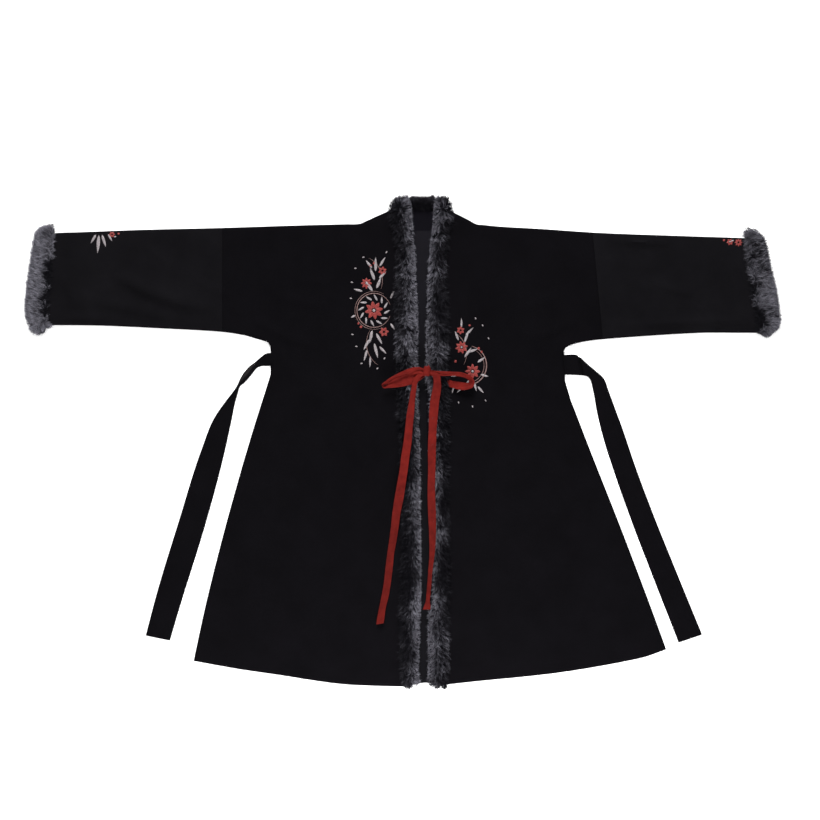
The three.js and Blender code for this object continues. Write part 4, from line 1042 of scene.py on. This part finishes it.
def surface_points(node, count, lowest_normal):
    """Random places on the upper side of a solid, with the solid's smooth normals there."""
    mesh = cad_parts[node].data
    mesh.calc_loop_triangles()
    places = np.array([v.co for v in mesh.vertices])
    corners = np.array([t.vertices for t in mesh.loop_triangles])
    keys = np.round(places / 0.00002).astype(np.int64)
    _, merged = np.unique(keys, axis=0, return_inverse=True)
    merged = merged.reshape(-1)
    a, b, c = (places[corners[:, k]] for k in range(3))
    cross = np.cross(b - a, c - a)
    area = np.linalg.norm(cross, axis=1) / 2
    normals = np.zeros((merged.max() + 1, 3))
    for k in range(3):
        np.add.at(normals, merged[corners[:, k]], cross)
    normals = unit_rows(normals)
    face = random.choice(len(area), size=count * 4, p=area / area.sum())
    u, v = random.random(count * 4), random.random(count * 4)
    flip = u + v > 1
    u[flip], v[flip] = 1 - u[flip], 1 - v[flip]
    weight = np.stack([1 - u - v, u, v], axis=1)
    place = sum(weight[:, k, None] * places[corners[face, k]] for k in range(3))
    normal = unit_rows(sum(weight[:, k, None] * normals[merged[corners[face, k]]] for k in range(3)))
    kept = normal[:, 2] > lowest_normal
    return place[kept][:count], normal[kept][:count]

def combed(name, lock, count, floor):
    """One mesh of tapering hairs. Each lock rises from its root, bends over the way it is
    combed and draws together to a point."""
    each = np.repeat(np.arange(len(lock["root"])), count)
    total = len(each)
    normal, way, root, rise = (lock[key][each] for key in ("normal", "way", "root", "rise"))
    rise = rise[:, None]
    size = (lock["length"][each] * (0.70 + 0.36 * random.random(total)))[:, None]
    side = unit_rows(np.cross(normal, way))
    spread = lock["spread"][each][:, None]
    offset = (side * random.normal(0, 1, (total, 1)) + way * random.normal(0, 0.9, (total, 1))) * spread
    stray = random.normal(0, HAIR_STRAY, (total, 3))
    first = root + size * 0.36 * unit_rows(normal * (0.55 + rise) + way * 0.75)
    second = first + size * 0.34 * unit_rows(normal * (0.08 + rise * 0.6) + way)
    third = second + size * 0.30 * unit_rows(normal * (rise * 0.4 - 0.12) + way)
    start = root + offset
    first = first + offset * 0.95 + stray * 0.4
    second = second + offset * 0.85 + stray * 0.9
    third = third + offset * 0.70 + stray * 1.6
    facing = unit_rows(normal * 0.6 + side * random.normal(0, 0.35, (total, 1)) + np.array([0, 0, 0.70]))
    width = unit_rows(np.cross(second - start, facing)) * HAIR_WIDTH
    width = width * (0.6 + 0.7 * random.random((total, 1)))
    rings = np.stack(
        [start - width * 0.5, start + width * 0.5, first - width * 0.5, first + width * 0.5,
         second - width * 0.34, second + width * 0.34, third],
        axis=1,
    )
    rings[..., 2] = np.maximum(rings[..., 2], floor)
    corner = (np.arange(total) * HAIR_POINTS)[:, None]
    quads = np.concatenate([corner + [0, 1, 3, 2], corner + [2, 3, 5, 4]]).tolist()
    points = (corner + [4, 5, 6]).tolist()
    piece = new_piece(name, rings.reshape(-1, 3).tolist(), quads + points)
    mesh = piece.data
    along = mesh.attributes.new("along", "FLOAT", "POINT")
    along.data.foreach_set("value", np.tile(HAIR_ALONG, total))
    tone = lock["tone"][each]
    tone = np.clip(tone + random.normal(0, 1, total) * (0.003 + 0.16 * np.clip(tone, 0, 1)), 0.001, 1)
    shade = mesh.attributes.new("tone", "FLOAT", "POINT")
    shade.data.foreach_set("value", np.repeat(tone, HAIR_POINTS))
    mesh.polygons.foreach_set("use_smooth", [True] * len(mesh.polygons))
    mesh.normals_split_custom_set_from_vertices(np.repeat(facing, HAIR_POINTS, axis=0).tolist())
    return piece

def hide_core(name, node, depth):
    """The strip of hide and underwool inside the pile."""
    core = copy_of_solid(node, name)
    open_mesh(core)
    bpy.ops.transform.shrink_fatten(value=-depth)
    close_mesh()
    subdivide(core, 1)
    return core

def strip_edges(node):
    """The lowest and highest x of a strip at any y, read from its solid."""
    places = np.array([v.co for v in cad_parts[node].data.vertices])
    levels = np.unique(np.round(places[:, 1], 3))
    low = [places[np.abs(places[:, 1] - level) < 0.012, 0].min() for level in levels]
    high = [places[np.abs(places[:, 1] - level) < 0.012, 0].max() for level in levels]
    return (lambda y: np.interp(y, levels, low)), (lambda y: np.interp(y, levels, high))

def patchy(place, scale, seed):
    """Smooth random values from about -1 to 1, one for each place."""
    return np.array([noise.noise(Vector((p[0] * scale, p[1] * scale, seed))) for p in place]) * 1.8

def ease_between(value, low, high):
    """0 below low and 1 above high, smooth between."""
    share = np.clip((value - low) / (high - low), 0, 1)
    return share * share * (3 - 2 * share)

def flat_on(normal, way):
    """The part of a direction that lies along the surface."""
    return unit_rows(way - normal * (way * normal).sum(axis=1)[:, None])

def lift_off_hem(root, way, length, hem):
    """Shift up the locks whose tips would hang below the hem of the pile."""
    tip = root + way * (TIP_AT * length)[:, None]
    lowest = np.array([hem(x) for x in tip[:, 0]]) + random.normal(0, HEM_UNEVEN, len(root))
    root[:, 1] += np.maximum(lowest - tip[:, 1], 0)

def fur_strip(strip, core_name, depth, margin, locks, floor):
    """The hide of a strip, cut off a margin above the hem of its pile, and then the pile."""
    core = hide_core(core_name, strip["node"], depth)
    hem = reader(strip["hem"])
    for vertex in core.data.vertices:
        vertex.co.y = max(vertex.co.y, hem(vertex.co.x) + margin)
    dress(core, underwool, "fur", strip["node"])
    dress(combed(strip["name"], locks(strip), HAIRS_PER_LOCK, floor), hairs, "fur")

# The glow is how pale the outer half of a strip is at any y, and the hem is the lowest y of
# its pile at any x: both strips are trimmed to a slant beside the opening. The shine scales
# the tone of every lock, and the reach is how far out the pale inner half goes. The pale
# inner half is the grey of the parted pile with a painted highlight on it.
EDGINGS = [
    {
        "name": "fur_edge_left", "node": "fur_front_left", "side": -1, "shine": 0.96, "reach": 0.16,
        "glow": [
            (-0.490, 0.15), (-0.360, 0.12), (-0.200, 0.05), (0.050, 0.09), (0.170, 0.30), (0.230, 0.30),
            (0.270, 0.32), (0.360, 0.30), (0.395, 0.15), (0.460, 0.22), (0.480, 0.46),
        ],
        "hem": [
            (-0.010, -0.4885), (0.0040, -0.4870), (0.0080, -0.4920), (0.0170, -0.4925), (0.0225, -0.4880),
            (0.0300, -0.4820), (0.0370, -0.4785), (0.0450, -0.4775),
        ],
    },
    {
        "name": "fur_edge_right", "node": "fur_front_right", "side": 1, "shine": 0.80, "reach": 0.10,
        "glow": [
            (-0.490, 0.38), (-0.370, 0.38), (-0.320, 0.12), (0.050, 0.12), (0.200, 0.24), (0.260, 0.24),
            (0.400, 0.20), (0.460, 0.24), (0.480, 0.34),
        ],
        "hem": [
            (0.040, -0.4770), (0.0500, -0.4795), (0.0580, -0.4875), (0.0710, -0.4925), (0.0770, -0.4895),
            (0.0835, -0.4920), (0.0905, -0.4925), (0.0930, -0.4820), (0.100, -0.4815),
        ],
    },
]
LOCKS_PER_EDGING = 7500
HAIRS_PER_LOCK = 5
EDGING_FLOOR = 0.0046
EDGING_HIDE = 0.0036
EDGING_MARGIN = 0.005
EDGING_HAIR = 0.0120

def edging_locks(edging):
    """Locks of a front strip. They part along its middle: short ones lean over the opening,
    long ones over the front, and all of them a little down the garment."""
    place, normal = surface_points(edging["node"], LOCKS_PER_EDGING, -0.15)
    count = len(place)
    low, high = strip_edges(edging["node"])
    left, right = low(place[:, 1]), high(place[:, 1])
    inward = (place[:, 0] - (left + right) / 2) / ((right - left) / 2) * -edging["side"]
    parting = np.tanh((inward + 0.05) * 3)
    y = place[:, 1]
    way = np.zeros((count, 3))
    way[:, 0] = -edging["side"] * parting * (0.55 + 0.45 * np.abs(inward))
    way[:, 1] = -0.50 - 0.30 * (1 - np.abs(inward)) + 0.30 * ease_between(inward, 0.3, 0.9)
    pulled_down = 1.2 * ease_between(-y, 0.460, 0.490) * ease_between(-inward, -0.5, 0.3)
    way[:, 1] += 2.2 * ease_between(y, 0.452, 0.487) - pulled_down
    way += random.normal(0, 0.30, (count, 3)) + 0.25 * patchy(place, 45, 3.1)[:, None] * [1, 1, 0]
    luck = random.random(count)
    ends = ease_between(-y, 0.455, 0.486)
    middle = np.exp(-(((y - 0.105) / 0.075) ** 2)) * (edging["side"] < 0)
    below_bow = ease_between(-y, -0.125, -0.095) * ease_between(y, -0.340, -0.310) * (edging["side"] > 0)
    drawn_back = (0.0062 + 0.0026 * middle) * (1 - ends) * (1 + 0.30 * patchy(place, 90, 1.9))
    length = EDGING_HAIR + 0.0035 * ease_between(-inward, 0.2, 0.9)
    length = length - drawn_back * ease_between(inward, 0.35, 0.85)
    cropped = 1 - 0.30 * ends * (inward < 0.3) - 0.22 * ease_between(y, 0.470, 0.490)
    length *= (0.78 + 0.46 * luck) * cropped
    length *= 1 - 0.25 * ease_between(-inward, 0.55, 0.95) * (luck < 0.88)
    broad, close = patchy(place, 24, 9.2), patchy(place, 75, 5.5)
    upper = ease_between(y, 0.160, 0.260)
    # Paler locks towards the opening: the grey of the parted pile, with a painted highlight where it
    # catches the light.
    bright = inward + 0.34 * broad + 0.12 * close + edging["reach"] * (1 - 0.6 * upper)
    bright = ease_between(bright, -0.30 - 0.22 * upper, 0.80 - 0.05 * upper)
    glow = reader(edging["glow"])
    outer_glow = np.array([glow(value) for value in y]) * (1 - bright)
    tone = 0.60 * bright + outer_glow * (0.3 + 1.3 * ease_between(broad * 0.9 + close * 0.5, -0.1, 0.9))
    tone *= 0.03 + 1.75 * random.random(count) ** (2.4 - 1.1 * bright)
    tone += np.where(random.random(count) > 0.93 - 0.07 * bright, 0.05 + 0.18 * bright, 0.0)
    tone *= (1 - 0.45 * ease_between(-inward, 0.60, 0.95)) * (1 - 0.28 * ease_between(-y, 0.320, 0.370))
    tone[place[:, 2] < 0.0075] *= 0.45
    opening = ease_between(inward, 0.55, 0.95)
    way = flat_on(normal, way)
    root = place - normal * (0.0048 + 0.0012 * opening)[:, None]
    at_top = ease_between(y, 0.470, 0.486)
    root[:, 0] += opening * (0.0050 * below_bow - 0.0025 * middle - 0.0025 * edging["side"] * at_top)
    root[:, 0] += 0.0046 * below_bow * ease_between(inward, -0.1, 0.6)
    lift_off_hem(root, way, length, reader(edging["hem"]))
    return {
        "root": root, "normal": normal, "way": way, "length": length, "tone": tone * edging["shine"],
        "rise": 0.06 + 0.34 * random.random(count) * (1 - 0.6 * opening),
        "spread": np.full(count, 0.0010),
    }

for edging in EDGINGS:
    fur_strip(edging, edging["name"] + "_hide", EDGING_HIDE, EDGING_MARGIN, edging_locks, EDGING_FLOOR)

# Fur cuffs and the strip of fur along the back collar.
# Beside the sleeve the pile opens on its dark underwool. The hem is the lowest y of the pile
# at any x, the edge is the x where the grey begins at any y, and the patches are dark spots
# (x, y, radius, depth): open underwool, and at the foot of the right cuff painted shadow of
# the sleeve. The foot is the lower end of a cuff. Parting and foot_parting say how
# far towards the sleeve the locks part, and lean how far they lean up. Foot, top and corner
# say how much longer they grow beside the sleeve, at the top and at the outer corner of the
# foot, and even is the least tone of a lock.
CUFFS = [
    {
        "name": "fur_cuff_left_pile", "node": "fur_cuff_left", "side": -1, "shine": 0.75,
        "lean": 0.30, "foot": 0.90, "parting": 1.50, "foot_parting": 0.40, "top": 0.25, "corner": 0.42,
        "even": 0.13,
        "hem": [
            (-0.760, 0.262), (-0.7518, 0.243), (-0.7456, 0.2225), (-0.7276, 0.2120), (-0.715, 0.2165),
            (-0.706, 0.2245), (-0.697, 0.2320), (-0.690, 0.2400),
        ],
        "edge": [
            (0.200, -0.670), (0.229, -0.685), (0.238, -0.698), (0.247, -0.711), (0.257, -0.716),
            (0.266, -0.712), (0.273, -0.713), (0.283, -0.721), (0.291, -0.716), (0.298, -0.712),
            (0.312, -0.708), (0.320, -0.709), (0.331, -0.714), (0.345, -0.707), (0.353, -0.711),
            (0.362, -0.701), (0.374, -0.694), (0.390, -0.688), (0.440, -0.680),
        ],
        "patches": [
            (-0.706, 0.414, 0.012, 0.40), (-0.702, 0.384, 0.010, 0.30), (-0.727, 0.262, 0.008, 0.40),
        ],
    },
    {
        "name": "fur_cuff_right_pile", "node": "fur_cuff_right", "side": 1, "shine": 0.58,
        "lean": 0.22, "foot": 0.20, "parting": 0.75, "foot_parting": 0.55, "top": -0.10, "corner": 0.0,
        "even": 0.08,
        "hem": [
            (0.700, 0.2160), (0.7096, 0.2155), (0.724, 0.2075), (0.732, 0.2080), (0.7418, 0.2150),
            (0.7508, 0.2250),
        ],
        "edge": [
            (0.200, 0.700), (0.214, 0.706), (0.226, 0.717), (0.240, 0.724), (0.253, 0.721),
            (0.262, 0.713), (0.272, 0.7045), (0.291, 0.706), (0.309, 0.704), (0.327, 0.698),
            (0.343, 0.692), (0.368, 0.687), (0.382, 0.681), (0.440, 0.670),
        ],
        "patches": [
            (0.706, 0.379, 0.026, 0.78), (0.717, 0.350, 0.018, 0.62), (0.708, 0.313, 0.010, 0.70),
            # The first two patches on the next line are painted shadow that the sleeve casts at the foot of
            # the cuff.
            (0.730, 0.258, 0.012, 0.50), (0.722, 0.226, 0.011, 0.45), (0.700, 0.412, 0.010, 0.40),
        ],
    },
]
LOCKS_PER_CUFF = 4600
CUFF_FLOOR = 0.0003
CUFF_HIDE = 0.0010
CUFF_MARGIN = 0.003
CUFF_HAIR = 0.0150
CUFF_SKIN = 0.0062

def cuff_locks(cuff):
    """Locks of a cuff: they lean out past its end, and back over the sleeve at its seam."""
    place, normal = surface_points(cuff["node"], LOCKS_PER_CUFF * 2, -0.35)
    outer_skin = (normal[:, 2] > -0.2) & ((place[:, 2] > CUFF_SKIN) | (np.abs(normal[:, 2]) < 0.8))
    place, normal = place[outer_skin][:LOCKS_PER_CUFF], normal[outer_skin][:LOCKS_PER_CUFF]
    count = len(place)
    low, high = strip_edges(cuff["node"])
    cuff_edge = reader(cuff["edge"])
    left, right = low(place[:, 1]), high(place[:, 1])
    outward = (place[:, 0] - (left + right) / 2) / ((right - left) / 2) * cuff["side"]
    tops = ease_between(place[:, 1], 0.400, 0.428)
    foot = ease_between(-place[:, 1], -0.244, -0.216)
    rim = 1 - ease_between(np.abs(normal[:, 2]), 0.55, 0.95)
    way = np.zeros((count, 3))
    parting = cuff["parting"] + (cuff["foot_parting"] - cuff["parting"]) * foot
    way[:, 0] = cuff["side"] * np.tanh((outward + parting) * (3 - 1.4 * foot))
    way[:, 1] = cuff["lean"] * (1 - tops - foot) + 0.35 * patchy(place, 28, 4.4) + 0.9 * tops
    way[:, 1] -= foot * (0.50 + 0.45 * np.clip(outward, -1, 1))
    way[:, :2] += 1.3 * rim[:, None] * normal[:, :2]
    way += random.normal(0, 0.24, (count, 3))
    growth = unit_rows(normal * 0.4 + np.array([0, 0, 1]))
    way = flat_on(growth, way)
    # Dark locks in the patches: open underwool, and painted shadow of the sleeve.
    dark = np.zeros(count)
    for x, y, radius, depth in cuff["patches"]:
        away = np.hypot(place[:, 0] - x, place[:, 1] - y) / radius
        dark = np.maximum(dark, depth * np.exp(-(away**2) * (1 + 0.5 * patchy(place, 120, 3.3))))
    edge = np.array([cuff_edge(y) for y in place[:, 1]]) + 0.003 * patchy(place * [0, 1, 0], 260, 8.8)
    edge += random.normal(0, 0.0024, count)
    dark = np.maximum(dark, ease_between(cuff["side"] * (edge - place[:, 0]), -0.004, 0.003))
    tone = 0.98 + 0.15 * patchy(place, 60, 2.2) - 0.30 * ease_between(-outward, -0.3, 0.7)
    tone *= cuff["even"] + (1.33 - cuff["even"]) * random.random(count) ** 1.1
    tone = np.where(random.random(count) < dark, 0.010 + 0.02 * random.random(count), tone)
    over_sleeve = ease_between(-outward, 0.25, 0.75)
    back = 0.0078 * np.maximum(1 - 0.6 * over_sleeve, np.maximum(tops, foot * (1 - cuff["foot"])))
    root = place - normal * ROOT_DEPTH - way * back[:, None]
    root[:, 2] += over_sleeve * np.maximum(0.0064 - root[:, 2], 0) * (normal[:, 2] > 0.3)
    hem = reader(cuff["hem"])
    length = CUFF_HAIR * (0.75 + 0.42 * random.random(count))
    length *= 1 + cuff["top"] * tops + foot * np.where(outward < 0, 0.90 * cuff["foot"], cuff["corner"])
    lift_off_hem(root, way, length, hem)
    root[:, 1] = np.maximum(root[:, 1], np.array([hem(x) for x in root[:, 0]]) + 0.001)
    return {
        "root": root, "normal": growth, "way": way, "length": length, "tone": tone * cuff["shine"],
        "rise": 0.04 + 0.22 * random.random(count) + 0.30 * over_sleeve, "spread": np.full(count, 0.0009),
    }

for cuff in CUFFS:
    fur_strip(cuff, cuff["node"] + "_hide", CUFF_HIDE, CUFF_MARGIN, cuff_locks, CUFF_FLOOR)

LOCKS_AT_NECK = 1300
NECK_MIDDLE_X = 0.0402
NECK_FLOOR = 0.0040
NECK_HIDE = 0.0030
NECK_HAIR = 0.0098

def neck_locks():
    """Short dull locks that stand up from the back collar and fan out under both fronts."""
    place, normal = surface_points("fur_neck", LOCKS_AT_NECK, -0.2)
    count = len(place)
    across = (place[:, 0] - 0.040) / 0.018
    lower = ease_between(-place[:, 1], -0.482, -0.470)
    way = np.stack([across * 0.8, 1.0 - 1.7 * lower, np.zeros(count)], axis=1)
    way += random.normal(0, 0.35, (count, 3))
    upper = ease_between(place[:, 1], 0.474, 0.484)
    tone = upper * (0.020 + 0.060 * ease_between(place[:, 0], 0.040, 0.060))
    tone = tone * (0.2 + 1.6 * random.random(count))
    tone += np.where(random.random(count) > 0.92, 0.03 + 0.09 * upper, 0.007)
    place[:, 1] -= 0.0035 * lower * random.random(count)
    place[:, 0] = NECK_MIDDLE_X + (place[:, 0] - NECK_MIDDLE_X) * 1.25
    place[:, 1] -= 0.0065 * ease_between(place[:, 1], 0.470, 0.495)
    length = NECK_HAIR * (0.55 + 0.65 * random.random(count)) * (1 + 0.5 * lower * random.random(count))
    return {
        "root": place - normal * ROOT_DEPTH, "normal": normal, "way": flat_on(normal, way),
        "length": length, "tone": tone, "rise": 0.1 + 0.3 * random.random(count),
        "spread": np.full(count, 0.0015),
    }

core = hide_core("fur_neck_hide", "fur_neck", NECK_HIDE)
open_mesh(core)
bpy.ops.transform.resize(value=(1.3, 0.50, 0.5), center_override=(NECK_MIDDLE_X, 0.478, NECK_FLOOR))
close_mesh()
dress(core, underwool, "fur", "fur_neck")
dress(combed("fur_neck_pile", neck_locks(), HAIRS_PER_LOCK, NECK_FLOOR), hairs, "fur")

# Embroidery
# Generic satin-stitch sprays in red, silver and beige thread: a round medallion with two
# rosettes on the left breast, a crescent with rosettes on the right breast, and a few
# leaves at the top fold of each sleeve. Every stroke is a low dome that lies on the cloth.
STITCH_LIFT = 0.0002
STITCH_SUNK = -0.0002
STITCH_DOME = 0.0007
STITCH_FULL = 0.0015
THREAD_SCALE = 700
stitch_ground = []
for panel in panels:
    corners = [vertex.co for vertex in panel.data.vertices]
    faces = [face.vertices for face in panel.data.polygons]
    stitch_ground.append(BVHTree.FromPolygons(corners, faces))

def cloth_height(x, y):
    """The height of the uppermost cloth at a place."""
    found = [tree.ray_cast(Vector((x, y, 0.1)), Vector((0, 0, -1)))[0] for tree in stitch_ground]
    return max((place.z for place in found if place), default=FRONT_LEVEL)

def thread(name, dark, light):
    """Satin stitch: close parallel threads with a soft shine."""
    material, tree, shader = new_material(name, 0.5, 0.3)
    place = object_place(tree)
    tone = ramp_node(tree, noise_node(tree, place, 420, 4).outputs["Fac"], [(0.35, dark), (0.65, light)])
    threads = tree.nodes.new("ShaderNodeTexWave")
    set_inputs(threads, {"Scale": THREAD_SCALE, "Distortion": 1.2})
    tree.links.new(place, threads.inputs["Vector"])
    paint(tree, shader, tone, bump_node(tree, threads.outputs["Fac"], 0.5, 0.0003))
    return material

def leaf(x, y, turn, length, width, bend=0.0):
    """A pointed leaf from a place, along a direction in degrees, bent to its left."""
    angle = math.radians(turn)
    stroke = []
    for k in range(9):
        t = k / 8
        off = bend * length * math.sin(math.pi * t / 2) ** 2
        px = x + math.cos(angle) * length * t - math.sin(angle) * off
        py = y + math.sin(angle) * length * t + math.cos(angle) * off
        stroke.append((px, py, width / 2 * math.sin(math.pi * t**0.75) ** 0.8 + 0.0001))
    return stroke

def fleck(x, y, turn, length, width):
    """A small oval of stitches."""
    angle = math.radians(turn)
    stroke = []
    for k in range(7):
        t = k / 6 * 2 - 1
        across = width / 2 * math.sqrt(max(1 - t * t, 0)) + 0.0001
        stroke.append((x + math.cos(angle) * length / 2 * t, y + math.sin(angle) * length / 2 * t, across))
    return stroke

def bow_line(x, y, radius, start, end, width):
    """A stroke along an arc, thin at both ends."""
    steps = max(8, round(abs(end - start) / 8))
    stroke = []
    for k in range(steps + 1):
        t = k / steps
        angle = math.radians(start + (end - start) * t)
        across = width / 2 * (0.35 + 0.65 * math.sin(math.pi * t))
        stroke.append((x + math.cos(angle) * radius, y + math.sin(angle) * radius, across))
    return stroke

def rosette(x, y, radius, petals, turn):
    """Round petals about a middle that is left open."""
    strokes = []
    for k in range(petals):
        angle = turn + 360 / petals * k
        px = x + math.cos(math.radians(angle)) * radius * 0.22
        py = y + math.sin(math.radians(angle)) * radius * 0.22
        strokes.append(leaf(px, py, angle, radius * 0.80, radius * 4.0 / petals))
    return strokes

def stitched(name, strokes, material):
    """One mesh of domed strokes that follow the cloth under them."""
    across = 4
    points, faces = [], []
    for stroke in strokes:
        base = len(points)
        line = np.array(stroke)
        along = np.gradient(line[:, :2], axis=0)
        along /= np.linalg.norm(along, axis=1)[:, None] + 1e-9
        for (x, y, half), (dx, dy) in zip(stroke, along):
            for k in range(across + 1):
                s = k / across * 2 - 1
                px, py = x + dy * half * s, y - dx * half * s
                dome = STITCH_DOME * min(half / STITCH_FULL, 1) * math.sqrt(1 - s * s)
                lift = STITCH_SUNK if abs(s) == 1 else STITCH_LIFT
                points.append((px, py, cloth_height(px, py) + lift + dome))
        for i in range(len(stroke) - 1):
            for k in range(across):
                a = base + i * (across + 1) + k
                faces.append((a, a + 1, a + across + 2, a + across + 1))
    piece = outward_piece(name, points, faces)
    bpy.ops.object.shade_smooth()
    if piece.data.polygons[0].normal.z < 0:
        turn_over(piece)
    return dress(piece, material, "embroidery")

RED_THREAD = ((0.115, 0.013, 0.011, 1), (0.240, 0.034, 0.030, 1))
SILVER_THREAD = ((0.130, 0.115, 0.120, 1), (0.300, 0.270, 0.280, 1))
BEIGE_THREAD = ((0.100, 0.060, 0.055, 1), (0.215, 0.130, 0.122, 1))
thread_red = thread("thread_red", *RED_THREAD)
thread_silver = thread("thread_silver", *SILVER_THREAD)
thread_beige = thread("thread_beige", *BEIGE_THREAD)

# Left breast: a ring with a large rosette, leaves round it, a spray above and a fall below.
RING_LEFT = (-0.057, 0.262)
RING_SIZE = 0.034
RING_LEAVES = 12
RING_LEAVES_AT = 0.0205
left_red = rosette(*RING_LEFT, 0.018, 8, 10)
left_red += rosette(-0.072, 0.316, 0.011, 8, 0)
left_red += rosette(-0.040, 0.341, 0.0085, 6, 20)
left_red += rosette(-0.037, 0.219, 0.0095, 6, 5)
left_red += [fleck(-0.083, 0.229, 40, 0.006, 0.005), fleck(-0.088, 0.236, 70, 0.005, 0.004)]
left_red += [fleck(-0.064, 0.351, 20, 0.006, 0.005), fleck(-0.057, 0.356, 60, 0.005, 0.004)]
left_beige = [bow_line(*RING_LEFT, RING_SIZE, 20, 340, 0.0020)]
left_beige += [bow_line(*RING_LEFT, RING_SIZE + 0.004, 60, 300, 0.0012)]
left_beige += [bow_line(-0.090, 0.322, 0.050, -20, 62, 0.0014)]
left_beige += [bow_line(-0.020, 0.196, 0.052, 150, 235, 0.0014)]
left_silver = [fleck(*RING_LEFT, 0, 0.006, 0.006), fleck(-0.072, 0.316, 0, 0.004, 0.004)]
for k in range(RING_LEAVES):
    turn = 30 * k + 12
    x = RING_LEFT[0] + math.cos(math.radians(turn)) * RING_LEAVES_AT
    y = RING_LEFT[1] + math.sin(math.radians(turn)) * RING_LEAVES_AT
    left_silver.append(leaf(x, y, turn + 38, 0.014, 0.0042, 0.12))
SPRAY_LEFT = [
    (-0.060, 0.300, 118, 0.026, 0.0064), (-0.052, 0.306, 62, 0.024, 0.0060),
    (-0.056, 0.322, 104, 0.026, 0.0062), (-0.047, 0.326, 38, 0.020, 0.0052),
    (-0.054, 0.340, 84, 0.028, 0.0060), (-0.046, 0.350, 52, 0.022, 0.0048),
    (-0.061, 0.346, 122, 0.020, 0.0048), (-0.080, 0.300, 160, 0.018, 0.0046),
    (-0.060, 0.222, 252, 0.026, 0.0062), (-0.052, 0.216, 292, 0.024, 0.0056),
    (-0.066, 0.204, 236, 0.024, 0.0056), (-0.056, 0.196, 278, 0.030, 0.0060),
    (-0.070, 0.184, 248, 0.024, 0.0050), (-0.046, 0.190, 308, 0.020, 0.0046),
    (-0.064, 0.170, 262, 0.022, 0.0042), (-0.094, 0.252, 200, 0.010, 0.0040),
    (-0.024, 0.236, 300, 0.016, 0.0046), (-0.024, 0.286, 58, 0.016, 0.0046),
]
left_silver += [leaf(*row, 0.08) for row in SPRAY_LEFT]
FLECKS_LEFT = [
    (-0.101, 0.318), (-0.094, 0.346), (-0.078, 0.368), (-0.032, 0.378), (-0.103, 0.286),
    (-0.100, 0.214), (-0.092, 0.190), (-0.036, 0.166), (-0.082, 0.156), (-0.050, 0.146),
]
left_silver += [fleck(x, y, 80 + 900 * x, 0.0050, 0.0026) for x, y in FLECKS_LEFT]

# Right breast: an open crescent, three rosettes and a bending spray.
CRESCENT = (0.128, 0.152)
right_red = rosette(0.118, 0.188, 0.0125, 8, 12)
right_red += rosette(0.140, 0.140, 0.0150, 8, 0)
right_red += rosette(0.116, 0.222, 0.0080, 6, 25)
right_red += [fleck(0.152, 0.186, 30, 0.006, 0.005), fleck(0.158, 0.179, 70, 0.005, 0.004)]
right_red += [fleck(0.106, 0.160, 60, 0.006, 0.005), fleck(0.134, 0.232, 10, 0.005, 0.004)]
right_beige = [bow_line(*CRESCENT, 0.040, -105, 75, 0.0024), bow_line(*CRESCENT, 0.035, -95, 60, 0.0012)]
right_beige += [bow_line(0.080, 0.176, 0.048, -28, 58, 0.0014)]
right_silver = [fleck(0.118, 0.188, 0, 0.004, 0.004), fleck(0.140, 0.140, 0, 0.005, 0.005)]
SPRAY_RIGHT = [
    (0.124, 0.168, 60, 0.024, 0.0054), (0.130, 0.178, 24, 0.022, 0.0050),
    (0.124, 0.198, 76, 0.024, 0.0052), (0.112, 0.202, 116, 0.020, 0.0046),
    (0.126, 0.212, 50, 0.022, 0.0046), (0.118, 0.228, 96, 0.018, 0.0040),
    (0.150, 0.158, 40, 0.018, 0.0048), (0.156, 0.134, 350, 0.016, 0.0046),
    (0.132, 0.122, 250, 0.022, 0.0052), (0.142, 0.120, 292, 0.020, 0.0048),
    (0.122, 0.112, 232, 0.020, 0.0044), (0.150, 0.110, 318, 0.018, 0.0042),
    (0.112, 0.134, 200, 0.016, 0.0042), (0.104, 0.118, 262, 0.022, 0.0044),
]
right_silver += [leaf(*row, -0.08) for row in SPRAY_RIGHT]
FLECKS_RIGHT = [
    (0.160, 0.232), (0.172, 0.206), (0.146, 0.246), (0.112, 0.078), (0.140, 0.070), (0.166, 0.082),
]
right_silver += [fleck(x, y, 60 + 400 * x, 0.0046, 0.0024) for x, y in FLECKS_RIGHT]

# Sleeve tops: a few leaves and buds that hang from the fold line.
sleeve_silver = [
    leaf(-0.606, 0.412, 262, 0.036, 0.0070, 0.05), leaf(-0.600, 0.413, 284, 0.026, 0.0056, 0.05),
    leaf(-0.612, 0.413, 238, 0.020, 0.0048, 0.0), leaf(-0.588, 0.414, 300, 0.016, 0.0042, 0.0),
    fleck(-0.574, 0.409, 10, 0.005, 0.003), leaf(0.662, 0.402, 200, 0.012, 0.0036, 0.0),
    leaf(0.684, 0.396, 300, 0.010, 0.0034, 0.0),
]
sleeve_red = rosette(-0.580, 0.4135, 0.0062, 6, 0) + rosette(0.654, 0.3985, 0.0068, 6, 10)
sleeve_red += rosette(0.671, 0.3975, 0.0078, 8, 0)
sleeve_red += [fleck(-0.567, 0.415, 0, 0.005, 0.004), fleck(0.642, 0.402, 30, 0.005, 0.004)]

EMBROIDERY = [
    ("embroidery_left_red", left_red, thread_red),
    ("embroidery_left_silver", left_silver, thread_silver),
    ("embroidery_left_beige", left_beige, thread_beige),
    ("embroidery_right_red", right_red, thread_red),
    ("embroidery_right_silver", right_silver, thread_silver),
    ("embroidery_right_beige", right_beige, thread_beige),
    ("embroidery_sleeve_silver", sleeve_silver, thread_silver),
    ("embroidery_sleeve_red", sleeve_red, thread_red),
]
for name, strokes, material in EMBROIDERY:
    stitched(name, strokes, material)

size = {"cad": [list(corner) for corner in cad_box], "visual": [list(corner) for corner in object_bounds()]}
